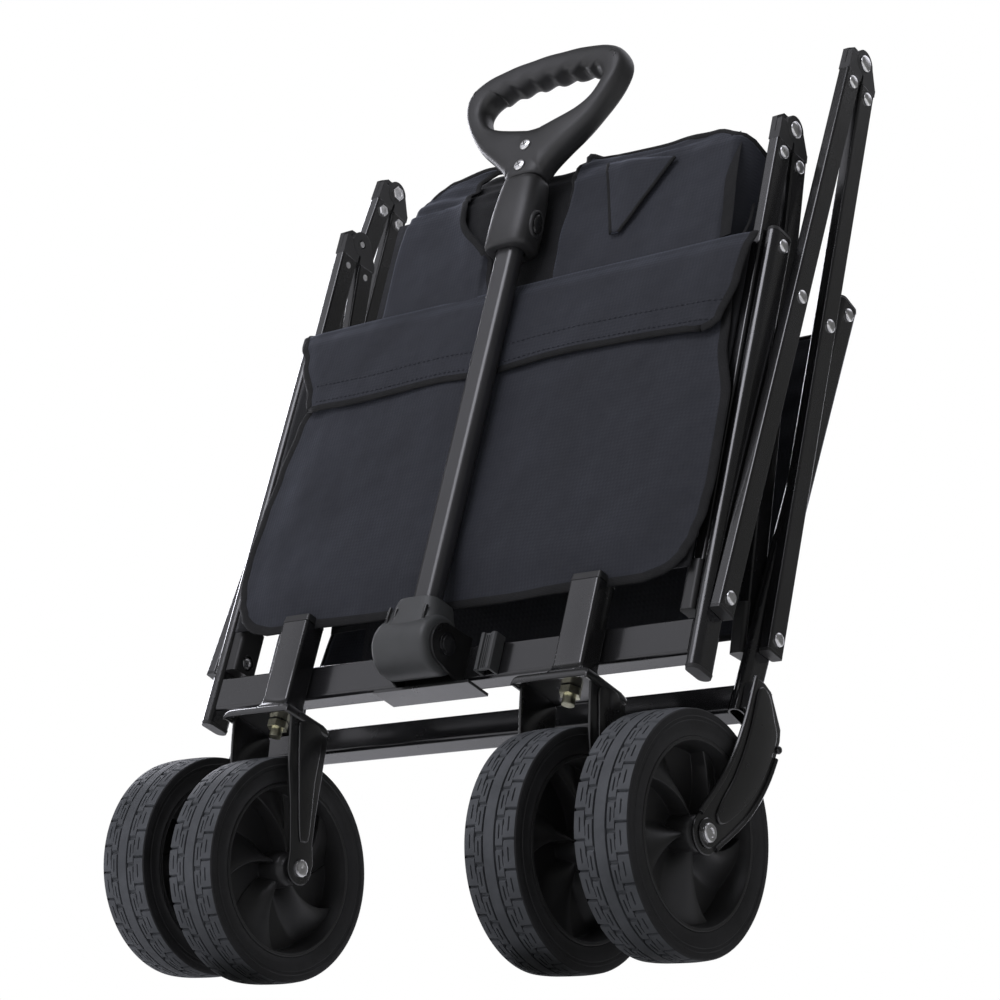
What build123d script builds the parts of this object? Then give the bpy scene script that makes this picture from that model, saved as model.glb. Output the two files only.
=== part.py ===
"""Folding camp wagon, folded: front and rear frames, floor rails, outer V rails, casters, wheels and handle.

Units are millimetres. +X is the wagon's right as seen from the front, the front faces -Y and +Z is up.
The origin is on the ground, at the middle of the folded wagon's outline.
"""

from build123d import *
import os
from math import asin, atan2, cos, hypot, radians, sin, sqrt

os.makedirs("parts", exist_ok=True)

# ---------------------------------------------------------------- driving dimensions
FRONT_Y = -22.44  # plane of the front posts
POST_X = 245.0  # centre of each post
POST_WIDTH = 12.0
POST_DEPTH = 26.0
POST_BOTTOM = 221.0
POST_TOP = 600.0
POST_BOLT_Z = 590.0
TUBE_WALL = 1.5
RAIL_WIDTH = 10.0
RAIL_DEPTH = 20.0
RAIL_WALL = 1.2
RAIL_GAP = 0.5  # side clearance between a post and the rail beside it
PIVOT_Z = 278.0
REAR_PIVOT_OFFSET = 68.0  # folded distance between the front and rear pivots
REAR_PIVOT_Z = 277.0
REAR_LEAN = 6.34  # degrees that the rear frame leans back when folded
FLOOR_HINGE = (5.0, 710.0)  # offset from the front posts, height
OUTER_HINGE = (52.0, 805.0)
MID_BOLT_AT = 277.0  # distance of the outer rails' middle bolts from their lower bolts

WHEEL_R = 90.0
TREAD_WIDTH = 47.0
RIM_R = 69.0
AXLE_R = 4.0
HUB_LENGTH = 50.0
CASTER_X = 148.0
CASTER_STEM_Y = -21.0  # from the post plane
CASTER_AXLE_Y = 10.0
REAR_WHEEL_X = 235.5
REAR_AXLE = (19.0, 101.0)  # offset from the front posts, height

HANDLE_Y = -38.0  # from the post plane
HANDLE_PIVOT_Z = 248.0
SLEEVE_Z = (618.0, 690.0)
RUN = 0.05  # radial running clearance of every pin in its hole
BOLT_R = 3.0
HINGE_PIN_R = 4.0
HEAD_R = 5.6

FLOOR_RAIL_X = POST_X - POST_WIDTH / 2 - RAIL_GAP - RAIL_WIDTH / 2
OUTER_RAIL_X = POST_X + POST_WIDTH / 2 + RAIL_GAP + RAIL_WIDTH / 2
SIDES = (("left", -1), ("right", 1))

front_pivot = (FRONT_Y, PIVOT_Z)
rear_pivot = (FRONT_Y + REAR_PIVOT_OFFSET, REAR_PIVOT_Z)
floor_hinge = (FRONT_Y + FLOOR_HINGE[0], FLOOR_HINGE[1])
outer_hinge = (FRONT_Y + OUTER_HINGE[0], OUTER_HINGE[1])


# ---------------------------------------------------------------- helpers
def along_x(x, y, z):
    """A location whose Z axis runs along the wagon's X axis."""
    return Location((x, y, z), (0, 90, 0))


def save(builder, label):
    """Names a finished piece and writes its file."""
    builder.part.label = label
    export_step(builder.part, f"parts/{label}.step")


def rear_point(y, z):
    """A point of the rear frame, from its pivot: y behind the post line, z up along it."""
    lean = radians(REAR_LEAN)
    return (
        rear_pivot[0] + y * cos(lean) + z * sin(lean),
        rear_pivot[1] - y * sin(lean) + z * cos(lean),
    )


def rear_plane(x, y, z):
    """A plane square to the rear posts at a point given in the rear frame."""
    place = rear_point(y, z)
    lean = radians(REAR_LEAN)
    return Plane((x, place[0], place[1]), x_dir=(1, 0, 0), z_dir=(0, sin(lean), cos(lean)))


class Rail:
    """A rail from a lower pivot to a hinge pin that stands at its inner edge.

    side is 1 where the pin is behind the rail and -1 where it is in front of it.
    """

    def __init__(self, foot, pin, side):
        reach = hypot(pin[0] - foot[0], pin[1] - foot[1])
        offset = RAIL_DEPTH / 2 + RAIL_GAP
        angle = atan2(pin[0] - foot[0], pin[1] - foot[1]) - side * asin(offset / reach)
        self.foot = foot
        self.pin = pin
        self.side = side
        self.up = (sin(angle), cos(angle))
        self.length = sqrt(reach**2 - offset**2)

    def at(self, distance):
        """The point of the centre line that far from the lower pivot."""
        return (self.foot[0] + distance * self.up[0], self.foot[1] + distance * self.up[1])

    def section(self, x, distance):
        """The plane square to the rail at that distance."""
        place = self.at(distance)
        return Plane((x, place[0], place[1]), x_dir=(1, 0, 0), z_dir=(0, self.up[0], self.up[1]))

    def profile(self, x):
        """The rail's side view: origin at the hinge pin, x away from the rail, y up."""
        across = (self.side * self.up[1], -self.side * self.up[0])
        return Plane(
            (x, self.pin[0], self.pin[1]), x_dir=(0, across[0], across[1]), z_dir=(self.side, 0, 0)
        )


floor_front = Rail(front_pivot, floor_hinge, 1)
floor_rear = Rail(rear_pivot, floor_hinge, -1)
outer_front = Rail(front_pivot, outer_hinge, 1)
outer_rear = Rail(rear_pivot, outer_hinge, -1)

KNUCKLE_DROP = 20.0  # from the hinge pin down to the tube's end
KNUCKLE_BOLT_DROP = 29.0
FOOT_BELOW = 10.0  # tube left below a lower pivot


# ---------------------------------------------------------------- posts and crossbars
END_FLANGE = 3.0
END_TAPER = 12
END_LIP = 0.6
END_STUB = 6.0
END_FIT = 0.2
THROUGH = POST_X * 3  # a cutter longer than the wagon is wide


def post_profile(width, depth):
    """The posts' flat oval section."""
    RectangleRounded(width, depth, width / 2 - 0.05)


def make_posts(label, places, length, holes):
    """A pair of oval tubes, each standing on its plane, with cross holes right through both."""
    with BuildPart() as posts:
        for place in places:
            with BuildSketch(place):
                post_profile(POST_WIDTH, POST_DEPTH)
                offset(amount=-TUBE_WALL, mode=Mode.SUBTRACT)
            extrude(amount=length)
        with Locations(*[along_x(0, y, z) for y, z in holes]):
            Cylinder(BOLT_R + RUN, THROUGH, mode=Mode.SUBTRACT)
    save(posts, label)


def make_oval_ends(label, ends_at):
    """Plastic ends for posts: a flange outside and a stub inside each tube."""
    with BuildPart() as ends:
        for place, direction in ends_at:
            with BuildSketch(place):
                post_profile(POST_WIDTH + END_LIP, POST_DEPTH + END_LIP)
            extrude(amount=END_FLANGE * direction, taper=END_TAPER)
            with BuildSketch(place):
                post_profile(POST_WIDTH - 2 * TUBE_WALL - END_FIT, POST_DEPTH - 2 * TUBE_WALL - END_FIT)
            extrude(amount=-END_STUB * direction)
    save(ends, label)


front_bottoms = [Plane((s * POST_X, FRONT_Y, POST_BOTTOM)) for name, s in SIDES]
front_tops = [Plane((s * POST_X, FRONT_Y, POST_TOP)) for name, s in SIDES]
front_bolt = (FRONT_Y, POST_BOLT_Z)
make_posts("front_posts", front_bottoms, POST_TOP - POST_BOTTOM, [front_pivot, front_bolt])
make_oval_ends(
    "front_post_ends", [(place, 1) for place in front_tops] + [(place, -1) for place in front_bottoms]
)

REAR_POST_LOW = -66.0
REAR_POST_HIGH = 325.0
POST_BOLT_DROP = 10.0
rear_bolt = rear_point(0, REAR_POST_HIGH - POST_BOLT_DROP)
rear_bottoms = [rear_plane(s * POST_X, 0, REAR_POST_LOW) for name, s in SIDES]
rear_tops = [rear_plane(s * POST_X, 0, REAR_POST_HIGH) for name, s in SIDES]
make_posts("rear_posts", rear_bottoms, REAR_POST_HIGH - REAR_POST_LOW, [rear_pivot, rear_bolt])
make_oval_ends("rear_post_caps", [(place, 1) for place in rear_tops])

CROSSBAR_HEIGHT = 30.0
CROSSBAR_DEPTH = 20.0
CROSSBAR_Z = 231.0
CROSSBAR_CORNER = 3.0
REAR_BAR_HEIGHT = 24.0
BAR_SPAN = 2 * POST_X - POST_WIDTH


def make_crossbar(label, centre, height):
    """A rectangular tube across the wagon, between the posts."""
    with BuildPart() as bar:
        with BuildSketch(centre):
            RectangleRounded(CROSSBAR_DEPTH, height, CROSSBAR_CORNER)
            offset(amount=-TUBE_WALL, mode=Mode.SUBTRACT)
        extrude(amount=BAR_SPAN / 2, both=True)
    save(bar, label)


lean_up = (0, sin(radians(REAR_LEAN)), cos(radians(REAR_LEAN)))
make_crossbar(
    "front_crossbar",
    Plane((0, FRONT_Y, CROSSBAR_Z + CROSSBAR_HEIGHT / 2), x_dir=(0, 1, 0), z_dir=(1, 0, 0)),
    CROSSBAR_HEIGHT,
)
rear_bar_at = rear_point(0, REAR_POST_LOW + REAR_BAR_HEIGHT / 2)
make_crossbar(
    "rear_crossbar",
    Plane((0, rear_bar_at[0], rear_bar_at[1]), x_dir=(0, lean_up[2], -lean_up[1]), z_dir=(1, 0, 0)),
    REAR_BAR_HEIGHT,
)


# ---------------------------------------------------------------- folding rails
RAIL_CORNER = 2.0
RAIL_INNER_CORNER = 0.8


def make_rails(label, rail, rail_x, bolts):
    """A left and a right rectangular rail tube with their cross holes."""
    with BuildPart() as tubes:
        for name, s in SIDES:
            with BuildSketch(rail.section(s * rail_x, -FOOT_BELOW)):
                RectangleRounded(RAIL_WIDTH, RAIL_DEPTH, RAIL_CORNER)
                RectangleRounded(
                    RAIL_WIDTH - 2 * RAIL_WALL, RAIL_DEPTH - 2 * RAIL_WALL, RAIL_INNER_CORNER,
                    mode=Mode.SUBTRACT,
                )
            extrude(amount=rail.length - KNUCKLE_DROP + FOOT_BELOW)
        with Locations(*[along_x(0, y, z) for y, z in bolts]):
            Cylinder(BOLT_R + RUN, THROUGH, mode=Mode.SUBTRACT)
    save(tubes, label)


STUB_WIDTH = RAIL_WIDTH - 2 * RAIL_WALL - 0.2
STUB_DEPTH = RAIL_DEPTH - 2 * RAIL_WALL - 0.2
STUB_CORNER = 1.0
STUB_LENGTH = 16.0
PLUG_FLANGE = 2.5
PLUG_STUB = 6.0  # ends short of the lower bolt
EAR_R = 12.0
EAR_CLEAR = 0.4
HALF_GAP = 0.2  # from the middle plane to each ear
INNER = -RAIL_DEPTH - RAIL_GAP  # far edge of a rail, from its pin
BODY_TOP = -13.5
EAR_FOOT = BODY_TOP - 1
SEAT_TOP = -0.5
FRONT_EAR = [(INNER, EAR_FOOT), (-RAIL_GAP, EAR_FOOT), (2, 0), (-2, 11), (-12, 10), (INNER, 2)]
REAR_EAR = [(INNER, EAR_FOOT), (-RAIL_GAP, EAR_FOOT), (2, 0), (-9, 7.5)]


def make_knuckles(label, rail, rail_x, front):
    """The plastic hinge half on top of a rail, left and right: body, tongue in the tube, and ear."""
    with BuildPart() as knuckle:
        for name, s in SIDES:
            x = s * rail_x
            ear_side = -1 if front else 1
            with BuildSketch(rail.profile(x)):
                with BuildLine():
                    Polyline(
                        (INNER, -KNUCKLE_DROP), (-RAIL_GAP, -KNUCKLE_DROP), (-RAIL_GAP, BODY_TOP),
                        (INNER, BODY_TOP), close=True,
                    )
                make_face()
            extrude(amount=RAIL_WIDTH / 2, both=True)
            ear_plane = rail.profile(x + ear_side * (HALF_GAP + RAIL_WIDTH / 2) / 2)
            with BuildSketch(ear_plane):
                with BuildLine():
                    Polyline(*(FRONT_EAR if front else REAR_EAR), close=True)
                make_face()
                Circle(EAR_R)
            extrude(amount=(RAIL_WIDTH / 2 - HALF_GAP) / 2, both=True)
            if front:
                with BuildSketch(rail.profile(x + (HALF_GAP + RAIL_WIDTH / 2) / 2)):
                    with BuildLine():
                        Polyline(
                            (INNER, EAR_FOOT), (-RAIL_GAP, EAR_FOOT), (-RAIL_GAP, SEAT_TOP),
                            (INNER, SEAT_TOP), close=True,
                        )
                    make_face()
                    Circle(EAR_R + EAR_CLEAR, mode=Mode.SUBTRACT)
                extrude(amount=(RAIL_WIDTH / 2 - HALF_GAP) / 2, both=True)
            with BuildSketch(rail.section(x, rail.length - KNUCKLE_DROP)):
                RectangleRounded(STUB_WIDTH, STUB_DEPTH, STUB_CORNER)
            extrude(amount=-STUB_LENGTH)
            with Locations(along_x(x, rail.pin[0], rail.pin[1])):
                Cylinder(HINGE_PIN_R + RUN, RAIL_WIDTH * 2, mode=Mode.SUBTRACT)
            bolt = rail.at(rail.length - KNUCKLE_BOLT_DROP)
            with Locations(along_x(x, bolt[0], bolt[1])):
                Cylinder(BOLT_R + RUN, RAIL_WIDTH * 2, mode=Mode.SUBTRACT)
    save(knuckle, label)


HEAD_HEIGHT = 2.0
DOME_HEIGHT = 0.8
DOME_SHARE = 0.75  # of the head's radius
NUT_SHARE = 0.95
PIN_HEAD_R = HEAD_R + 1.6
FACE_GAP = 0.2  # between a bolt's head or nut and the face it tightens on


def bolt_shape(x_inner, x_outer, point, radius, head, nut=True):
    """A bolt along X: shank, domed head beyond x_outer, and a nut beyond x_inner."""
    y, z = point
    out = 1 if x_outer > x_inner else -1
    inner_end = x_inner - out * (FACE_GAP if nut else 0)
    outer_end = x_outer + out * FACE_GAP
    with Locations(along_x((inner_end + outer_end) / 2, y, z)):
        Cylinder(radius, abs(outer_end - inner_end))
    with Locations(along_x(outer_end + out * HEAD_HEIGHT / 2, y, z)):
        Cylinder(head, HEAD_HEIGHT)
    with Locations(along_x(outer_end + out * (HEAD_HEIGHT + DOME_HEIGHT / 2), y, z)):
        Cylinder(head * DOME_SHARE, DOME_HEIGHT)
    if nut:
        with Locations(along_x(inner_end - out * HEAD_HEIGHT / 2, y, z)):
            Cylinder(head * NUT_SHARE, HEAD_HEIGHT)


def make_bolts(label, rows):
    """Bolts that share a node. Each row is inner x, outer x, points, shank and head radii, nut or not."""
    with BuildPart() as bolts:
        for x_inner, x_outer, points, radius, head, nut in rows:
            for point in points:
                bolt_shape(x_inner, x_outer, point, radius, head, nut)
    save(bolts, label)


RAILS = (
    ("floor_rails_front", floor_front, FLOOR_RAIL_X, True, False),
    ("floor_rails_rear", floor_rear, FLOOR_RAIL_X, False, False),
    ("outer_rails_front", outer_front, OUTER_RAIL_X, True, True),
    ("outer_rails_rear", outer_rear, OUTER_RAIL_X, False, True),
)
for label, rail, rail_x, front, outer in RAILS:
    foot = [rail.foot]
    top = [rail.at(rail.length - KNUCKLE_BOLT_DROP)]
    middle = [rail.at(MID_BOLT_AT)] if outer else []
    make_rails(label, rail, rail_x, foot + middle + top)
    make_knuckles(label.replace("rails", "knuckles"), rail, rail_x, front)
    rows = []
    for name, s in SIDES:
        inner, outer_face = s * (rail_x - RAIL_WIDTH / 2), s * (rail_x + RAIL_WIDTH / 2)
        rows.append((inner, outer_face, top + middle, BOLT_R, HEAD_R, outer))
        if outer and not front:
            rows.append((inner, outer_face, foot, BOLT_R, HEAD_R, False))
        if front:
            rows.append((inner, outer_face, [rail.pin], HINGE_PIN_R, PIN_HEAD_R, outer))
    make_bolts(label.replace("rails", "bolts"), rows)

FLOOR_INNER = FLOOR_RAIL_X - RAIL_WIDTH / 2
OUTER_OUTER = OUTER_RAIL_X + RAIL_WIDTH / 2
POST_INNER = POST_X - POST_WIDTH / 2
POST_OUTER = POST_X + POST_WIDTH / 2
front_rows = []
rear_rows = []
for name, s in SIDES:
    front_rows.append((s * FLOOR_INNER, s * OUTER_OUTER, [front_pivot], BOLT_R, HEAD_R, True))
    front_rows.append((s * POST_INNER, s * POST_OUTER, [front_bolt], BOLT_R, HEAD_R, False))
    rear_rows.append((s * POST_INNER, s * POST_OUTER, [rear_bolt], BOLT_R, HEAD_R, False))
    # the rear pivot pins stop inside the posts, so their heads are on the inner side
    rear_rows.append((s * (POST_OUTER - TUBE_WALL), s * FLOOR_INNER, [rear_pivot], BOLT_R, HEAD_R, False))
make_bolts("front_frame_bolts", front_rows)
make_bolts("rear_frame_bolts", rear_rows)

FLOOR_END_DEPTH = 25.0
SHOE_BELOW = 10.8  # the shoe's corners pass 0.5 mm over the crossbar as the rail turns
SHOE_LENGTH = 41.0
SHOE_WALL = 1.5
SHOE_CORNER = 3.5
SLIDE_FIT = 0.06


def make_floor_ends(label, rail):
    """Six-sided plastic shoes on the floor rails' lower ends."""
    with BuildPart() as shoes:
        for name, s in SIDES:
            x = s * (FLOOR_RAIL_X - SHOE_WALL)
            foot = rail.section(x, -SHOE_BELOW)
            with BuildSketch(foot):
                RectangleRounded(RAIL_WIDTH + 2 * SHOE_WALL, FLOOR_END_DEPTH, SHOE_CORNER)
            extrude(amount=SHOE_LENGTH)
            with BuildSketch(rail.section(s * FLOOR_RAIL_X, -FOOT_BELOW)):
                RectangleRounded(RAIL_WIDTH + SLIDE_FIT, RAIL_DEPTH + SLIDE_FIT, RAIL_CORNER)
            extrude(amount=1.5 * SHOE_LENGTH, mode=Mode.SUBTRACT)
            with Locations(along_x(x, rail.foot[0], rail.foot[1])):
                Cylinder(HEAD_R + 1.0, RAIL_WIDTH * 3, mode=Mode.SUBTRACT)
    save(shoes, label)


make_floor_ends("floor_shoes_front", floor_front)
make_floor_ends("floor_shoes_rear", floor_rear)


def make_foot_plugs(label, rail):
    """Plastic plugs in the outer rails' lower ends."""
    with BuildPart() as plugs:
        for name, s in SIDES:
            with BuildSketch(rail.section(s * OUTER_RAIL_X, -FOOT_BELOW)):
                RectangleRounded(RAIL_WIDTH, RAIL_DEPTH, RAIL_CORNER)
            extrude(amount=-PLUG_FLANGE)
            with BuildSketch(rail.section(s * OUTER_RAIL_X, -FOOT_BELOW)):
                RectangleRounded(STUB_WIDTH, STUB_DEPTH, STUB_CORNER)
            extrude(amount=PLUG_STUB)
    save(plugs, label)


make_foot_plugs("outer_plugs_front", outer_front)
make_foot_plugs("outer_plugs_rear", outer_rear)


# ---------------------------------------------------------------- caster stems and casters
STEM_WIDTH = 28.0
STEM_DEPTH = 22.0
STEM_Z = (218.0, 293.0)
STEM_CORNER = 3.0
COLLAR_R = 15.5
COLLAR_HEIGHT = 8.0
KINGPIN_R = 5.0
CAP_HEIGHT = 6.0
CAP_TAPER = 10
stem_y = FRONT_Y + CASTER_STEM_Y
caster_axle = (FRONT_Y + CASTER_AXLE_Y, WHEEL_R)

with BuildPart() as stems:
    for name, s in SIDES:
        with BuildSketch(Plane((s * CASTER_X, stem_y, STEM_Z[0]))):
            RectangleRounded(STEM_WIDTH, STEM_DEPTH, STEM_CORNER)
        extrude(amount=STEM_Z[1] - STEM_Z[0])
        with Locations((s * CASTER_X, stem_y, STEM_Z[0] - COLLAR_HEIGHT / 2)):
            Cylinder(COLLAR_R, COLLAR_HEIGHT)
        with Locations((s * CASTER_X, stem_y, STEM_Z[0])):
            Cylinder(KINGPIN_R + RUN, 60, mode=Mode.SUBTRACT)
save(stems, "caster_stems")

with BuildPart() as stem_caps:
    for name, s in SIDES:
        with BuildSketch(Plane((s * CASTER_X, stem_y, STEM_Z[1]))):
            RectangleRounded(STEM_WIDTH + 1, STEM_DEPTH, STEM_CORNER)
        extrude(amount=CAP_HEIGHT, taper=CAP_TAPER)
save(stem_caps, "caster_stem_caps")

KINGPIN_Z = (193.0, 246.0)
NUT_R = 8.5
NUT_HEIGHT = 6.0
AXLE_HEAD_R = 7.5
CROWN_SHEET = 3.0
FORK_HALF = 33.0
FORK_SHEET = 2.5
CROWN_TOP = 209.5
CROWN_LENGTH = 52.0
CROWN_LIP = 4.0
CROWN_CORNER = 5.0
cheek_back = stem_y - 13
cheek_top = [(-7, 0), (32, 0), (40, -6), (40, -20)]  # from the back of the crown
cheek_waist = (45, -66)
cheek_rear = [(15, -80), (2, -30)]
axle_front = (14, -2)  # from the axle
axle_under = (3, -13)
axle_rear = (-9, -6)


def from_crown(point):
    """A point of a fork cheek, given from the crown's back upper edge."""
    return (cheek_back + point[0], CROWN_TOP + point[1])


def from_axle(point):
    """A point of a fork cheek, given from the caster's axle."""
    return (caster_axle[0] + point[0], caster_axle[1] + point[1])


for name, s in SIDES:
    x = s * CASTER_X
    with BuildPart() as fork:
        with BuildSketch(Plane((x, stem_y - CROWN_LIP / 2, CROWN_TOP))):
            RectangleRounded(2 * FORK_HALF + CROWN_LIP, CROWN_LENGTH, CROWN_CORNER)
        extrude(amount=-CROWN_SHEET)
        for hand in (-1, 1):
            with BuildSketch(Plane((x + hand * (FORK_HALF - 1), 0, 0), x_dir=(0, 1, 0), z_dir=(1, 0, 0))):
                with BuildLine():
                    Polyline(*[from_crown(point) for point in cheek_top])
                    Spline(
                        from_crown(cheek_top[-1]), from_crown(cheek_waist), from_axle(axle_front),
                        tangents=[(-0.2, -1), (0.15, -1)],
                    )
                    ThreePointArc(from_axle(axle_front), from_axle(axle_under), from_axle(axle_rear))
                    Spline(
                        from_axle(axle_rear), from_crown(cheek_rear[0]), from_crown(cheek_rear[1]),
                        from_crown(cheek_top[0]),
                        tangents=[(-0.4, 1), (-0.7, 1)],
                    )
                make_face()
            extrude(amount=FORK_SHEET / 2, both=True)
        with Locations((x, stem_y, CROWN_TOP)):
            Cylinder(KINGPIN_R + RUN, 10 * CROWN_SHEET, mode=Mode.SUBTRACT)
        with Locations(along_x(x, caster_axle[0], caster_axle[1])):
            Cylinder(AXLE_R + RUN, 3 * FORK_HALF, mode=Mode.SUBTRACT)
    save(fork, f"caster_fork_{name}")

with BuildPart() as kingpins:
    for name, s in SIDES:
        with BuildSketch(Plane((s * CASTER_X, stem_y, KINGPIN_Z[0]))):
            Circle(KINGPIN_R)
        extrude(amount=KINGPIN_Z[1] - KINGPIN_Z[0])
        with BuildSketch(Plane((s * CASTER_X, stem_y, CROWN_TOP - CROWN_SHEET - FACE_GAP))):
            RegularPolygon(NUT_R, 6)
        extrude(amount=-NUT_HEIGHT)
save(kingpins, "caster_kingpins")

for name, s in SIDES:
    with BuildPart() as axle:
        reach = FORK_HALF + FORK_SHEET / 2 - 1
        bolt_shape(s * (CASTER_X - reach), s * (CASTER_X + reach), caster_axle, AXLE_R, AXLE_HEAD_R)
    save(axle, f"caster_axle_{name}")


# ---------------------------------------------------------------- wheels
RIM_WALL = 5.0
RIM_INSET = 3.0
HUB_R = 14.0
SPOKES = 8
SPOKE_SIZE = (54.0, 7.0)
SPOKE_CENTRE = 38.5
SPOKE_HALF = 15.0
SHOULDER = 6.0
CROWN_DROP = 0.6
GROOVE_X = 5.0
GROOVE_HALF = 1.0
GROOVE_DEPTH = 2.5


def make_wheel(label, x, axle):
    """A spoked plastic rim and its ribbed tyre, turning about an axle along X."""
    place = Plane((x, axle[0], axle[1]), x_dir=(0, 1, 0), z_dir=(1, 0, 0))
    with BuildPart() as rim:
        with BuildSketch(place):
            Circle(RIM_R)
            Circle(RIM_R - RIM_WALL, mode=Mode.SUBTRACT)
        extrude(amount=TREAD_WIDTH / 2 - RIM_INSET, both=True)
        with BuildSketch(place):
            Circle(HUB_R)
        extrude(amount=HUB_LENGTH / 2, both=True)
        with BuildSketch(place):
            with PolarLocations(SPOKE_CENTRE, SPOKES):
                Rectangle(*SPOKE_SIZE)
        extrude(amount=SPOKE_HALF, both=True)
        with Locations(along_x(x, axle[0], axle[1])):
            Cylinder(AXLE_R + RUN, HUB_LENGTH + 2, mode=Mode.SUBTRACT)
    save(rim, f"wheel_rim_{label}")
    half = TREAD_WIDTH / 2
    bead = RIM_R + 0.05
    crown = WHEEL_R - CROWN_DROP
    groove = [(GROOVE_HALF, 0), (0, GROOVE_DEPTH), (-GROOVE_HALF, 0)]
    with BuildPart() as tyre:
        with BuildSketch(Plane((x, axle[0], axle[1]), x_dir=(1, 0, 0), z_dir=(0, -1, 0))):
            with BuildLine():
                Polyline(
                    (-half, bead), (half, bead), (half, WHEEL_R - SHOULDER), (half - GROOVE_X, crown),
                    *[(GROOVE_X + d, WHEEL_R - drop) for d, drop in groove],
                    *[(-GROOVE_X + d, WHEEL_R - drop) for d, drop in groove],
                    (GROOVE_X - half, crown), (-half, WHEEL_R - SHOULDER), close=True,
                )
            make_face()
        revolve(axis=Axis((x, axle[0], axle[1]), (1, 0, 0)))
    save(tyre, f"tyre_{label}")


rear_axle = (FRONT_Y + REAR_AXLE[0], REAR_AXLE[1])
for name, s in SIDES:
    make_wheel(f"front_{name}", s * CASTER_X, caster_axle)
    make_wheel(f"rear_{name}", s * REAR_WHEEL_X, rear_axle)

# ---------------------------------------------------------------- rear arms
ARM_X = 260.7
ARM_SHEET = 3.0
ARM_TOP = [(46, 236), (68, 234), (78, 222), (89, 211)]  # behind the front posts, and height
ARM_BACK = [(89, 211), (81, 162), (58, 126), (33, 96)]
ARM_END = [(33, 96), (17, 84), (4, 103)]
ARM_FRONT = [(4, 103), (27, 146), (41, 190), (46, 236)]
WELD_AT = (61.0, 224.0)
WELD_SIZE = (22.0, 20.0)


def behind_posts(points):
    """Points given behind the front posts' centres."""
    return [(FRONT_Y + y, z) for y, z in points]


with BuildPart() as arms:
    for name, s in SIDES:
        plane = Plane((s * (ARM_X + ARM_SHEET / 2), 0, 0), x_dir=(0, 1, 0), z_dir=(1, 0, 0))
        with BuildSketch(plane):
            with BuildLine():
                Polyline(*behind_posts(ARM_TOP))
                Spline(*behind_posts(ARM_BACK), tangents=[(0.1, -1), (-1, -0.8)])
                ThreePointArc(*behind_posts(ARM_END))
                Spline(*behind_posts(ARM_FRONT), tangents=[(0.35, 1), (0.05, 1)])
            make_face()
        extrude(amount=ARM_SHEET / 2, both=True)
        weld_face = s * (POST_X + POST_WIDTH / 2 + 0.02)
        with BuildSketch(Plane((weld_face, 0, 0), x_dir=(0, 1, 0), z_dir=(s, 0, 0))):
            with Locations((FRONT_Y + WELD_AT[0], s * WELD_AT[1])):
                Rectangle(*WELD_SIZE)
        extrude(amount=ARM_X - POST_X - POST_WIDTH / 2)
        with Locations(along_x(s * ARM_X, rear_axle[0], rear_axle[1])):
            Cylinder(AXLE_R + RUN, 20, mode=Mode.SUBTRACT)
save(arms, "rear_arms")

with BuildPart() as rear_axles:
    for name, s in SIDES:
        wheel_face = s * (REAR_WHEEL_X - HUB_LENGTH / 2 - 0.5)
        bolt_shape(wheel_face, s * (ARM_X + ARM_SHEET), rear_axle, AXLE_R, AXLE_HEAD_R)
save(rear_axles, "rear_axles")

# ---------------------------------------------------------------- handle
handle_y = FRONT_Y + HANDLE_Y
handle_pivot = (handle_y, HANDLE_PIVOT_Z)
CHEEK_X = 28.0
BARREL_R = 24.0
CHEEK_R = 17.0
CHEEK_SHEET = 2.5
BRACKET_Z = (225.0, 267.0)
BASE_SHEET = 2.0
LUG_REACH = (4.0, 16.5)  # in front of the pivot, and above and below it
FOOT_PLATE = (40.0, 26.0, 2.4)  # wider than the cheeks, deep, thick
FOOT_PLATE_Z = 222.0
PIVOT_R = 5.0
PIVOT_HEAD_R = 9.0

bar_front = FRONT_Y - CROSSBAR_DEPTH / 2

with BuildPart() as bracket:
    with BuildSketch(Plane((0, bar_front, 0), x_dir=(1, 0, 0), z_dir=(0, -1, 0))):
        with Locations((0, sum(BRACKET_Z) / 2)):
            Rectangle(2 * (CHEEK_X + CHEEK_SHEET), BRACKET_Z[1] - BRACKET_Z[0])
    extrude(amount=BASE_SHEET)
    for hand in (-1, 1):
        cheek_at = hand * (CHEEK_X + CHEEK_SHEET / 2)
        with BuildSketch(Plane((cheek_at, 0, 0), x_dir=(0, 1, 0), z_dir=(1, 0, 0))):
            with Locations(handle_pivot):
                Circle(CHEEK_R)
            with BuildLine():
                Polyline(
                    (handle_y - LUG_REACH[0], HANDLE_PIVOT_Z + LUG_REACH[1]), (bar_front, BRACKET_Z[1]),
                    (bar_front, BRACKET_Z[0]),
                    (handle_y - LUG_REACH[0], HANDLE_PIVOT_Z - LUG_REACH[1]), close=True,
                )
            make_face()
        extrude(amount=CHEEK_SHEET / 2, both=True)
    with Locations((0, bar_front - 1, FOOT_PLATE_Z)):
        Box(2 * CHEEK_X + FOOT_PLATE[0], FOOT_PLATE[1], FOOT_PLATE[2])
    with Locations(along_x(0, handle_pivot[0], handle_pivot[1])):
        Cylinder(PIVOT_R + RUN, 4 * CHEEK_X, mode=Mode.SUBTRACT)
save(bracket, "handle_bracket")

with BuildPart() as pivot_bolt:
    bolt_shape(
        -CHEEK_X - CHEEK_SHEET, CHEEK_X + CHEEK_SHEET, handle_pivot, PIVOT_R, PIVOT_HEAD_R
    )
save(pivot_bolt, "handle_pivot_bolt")

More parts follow.
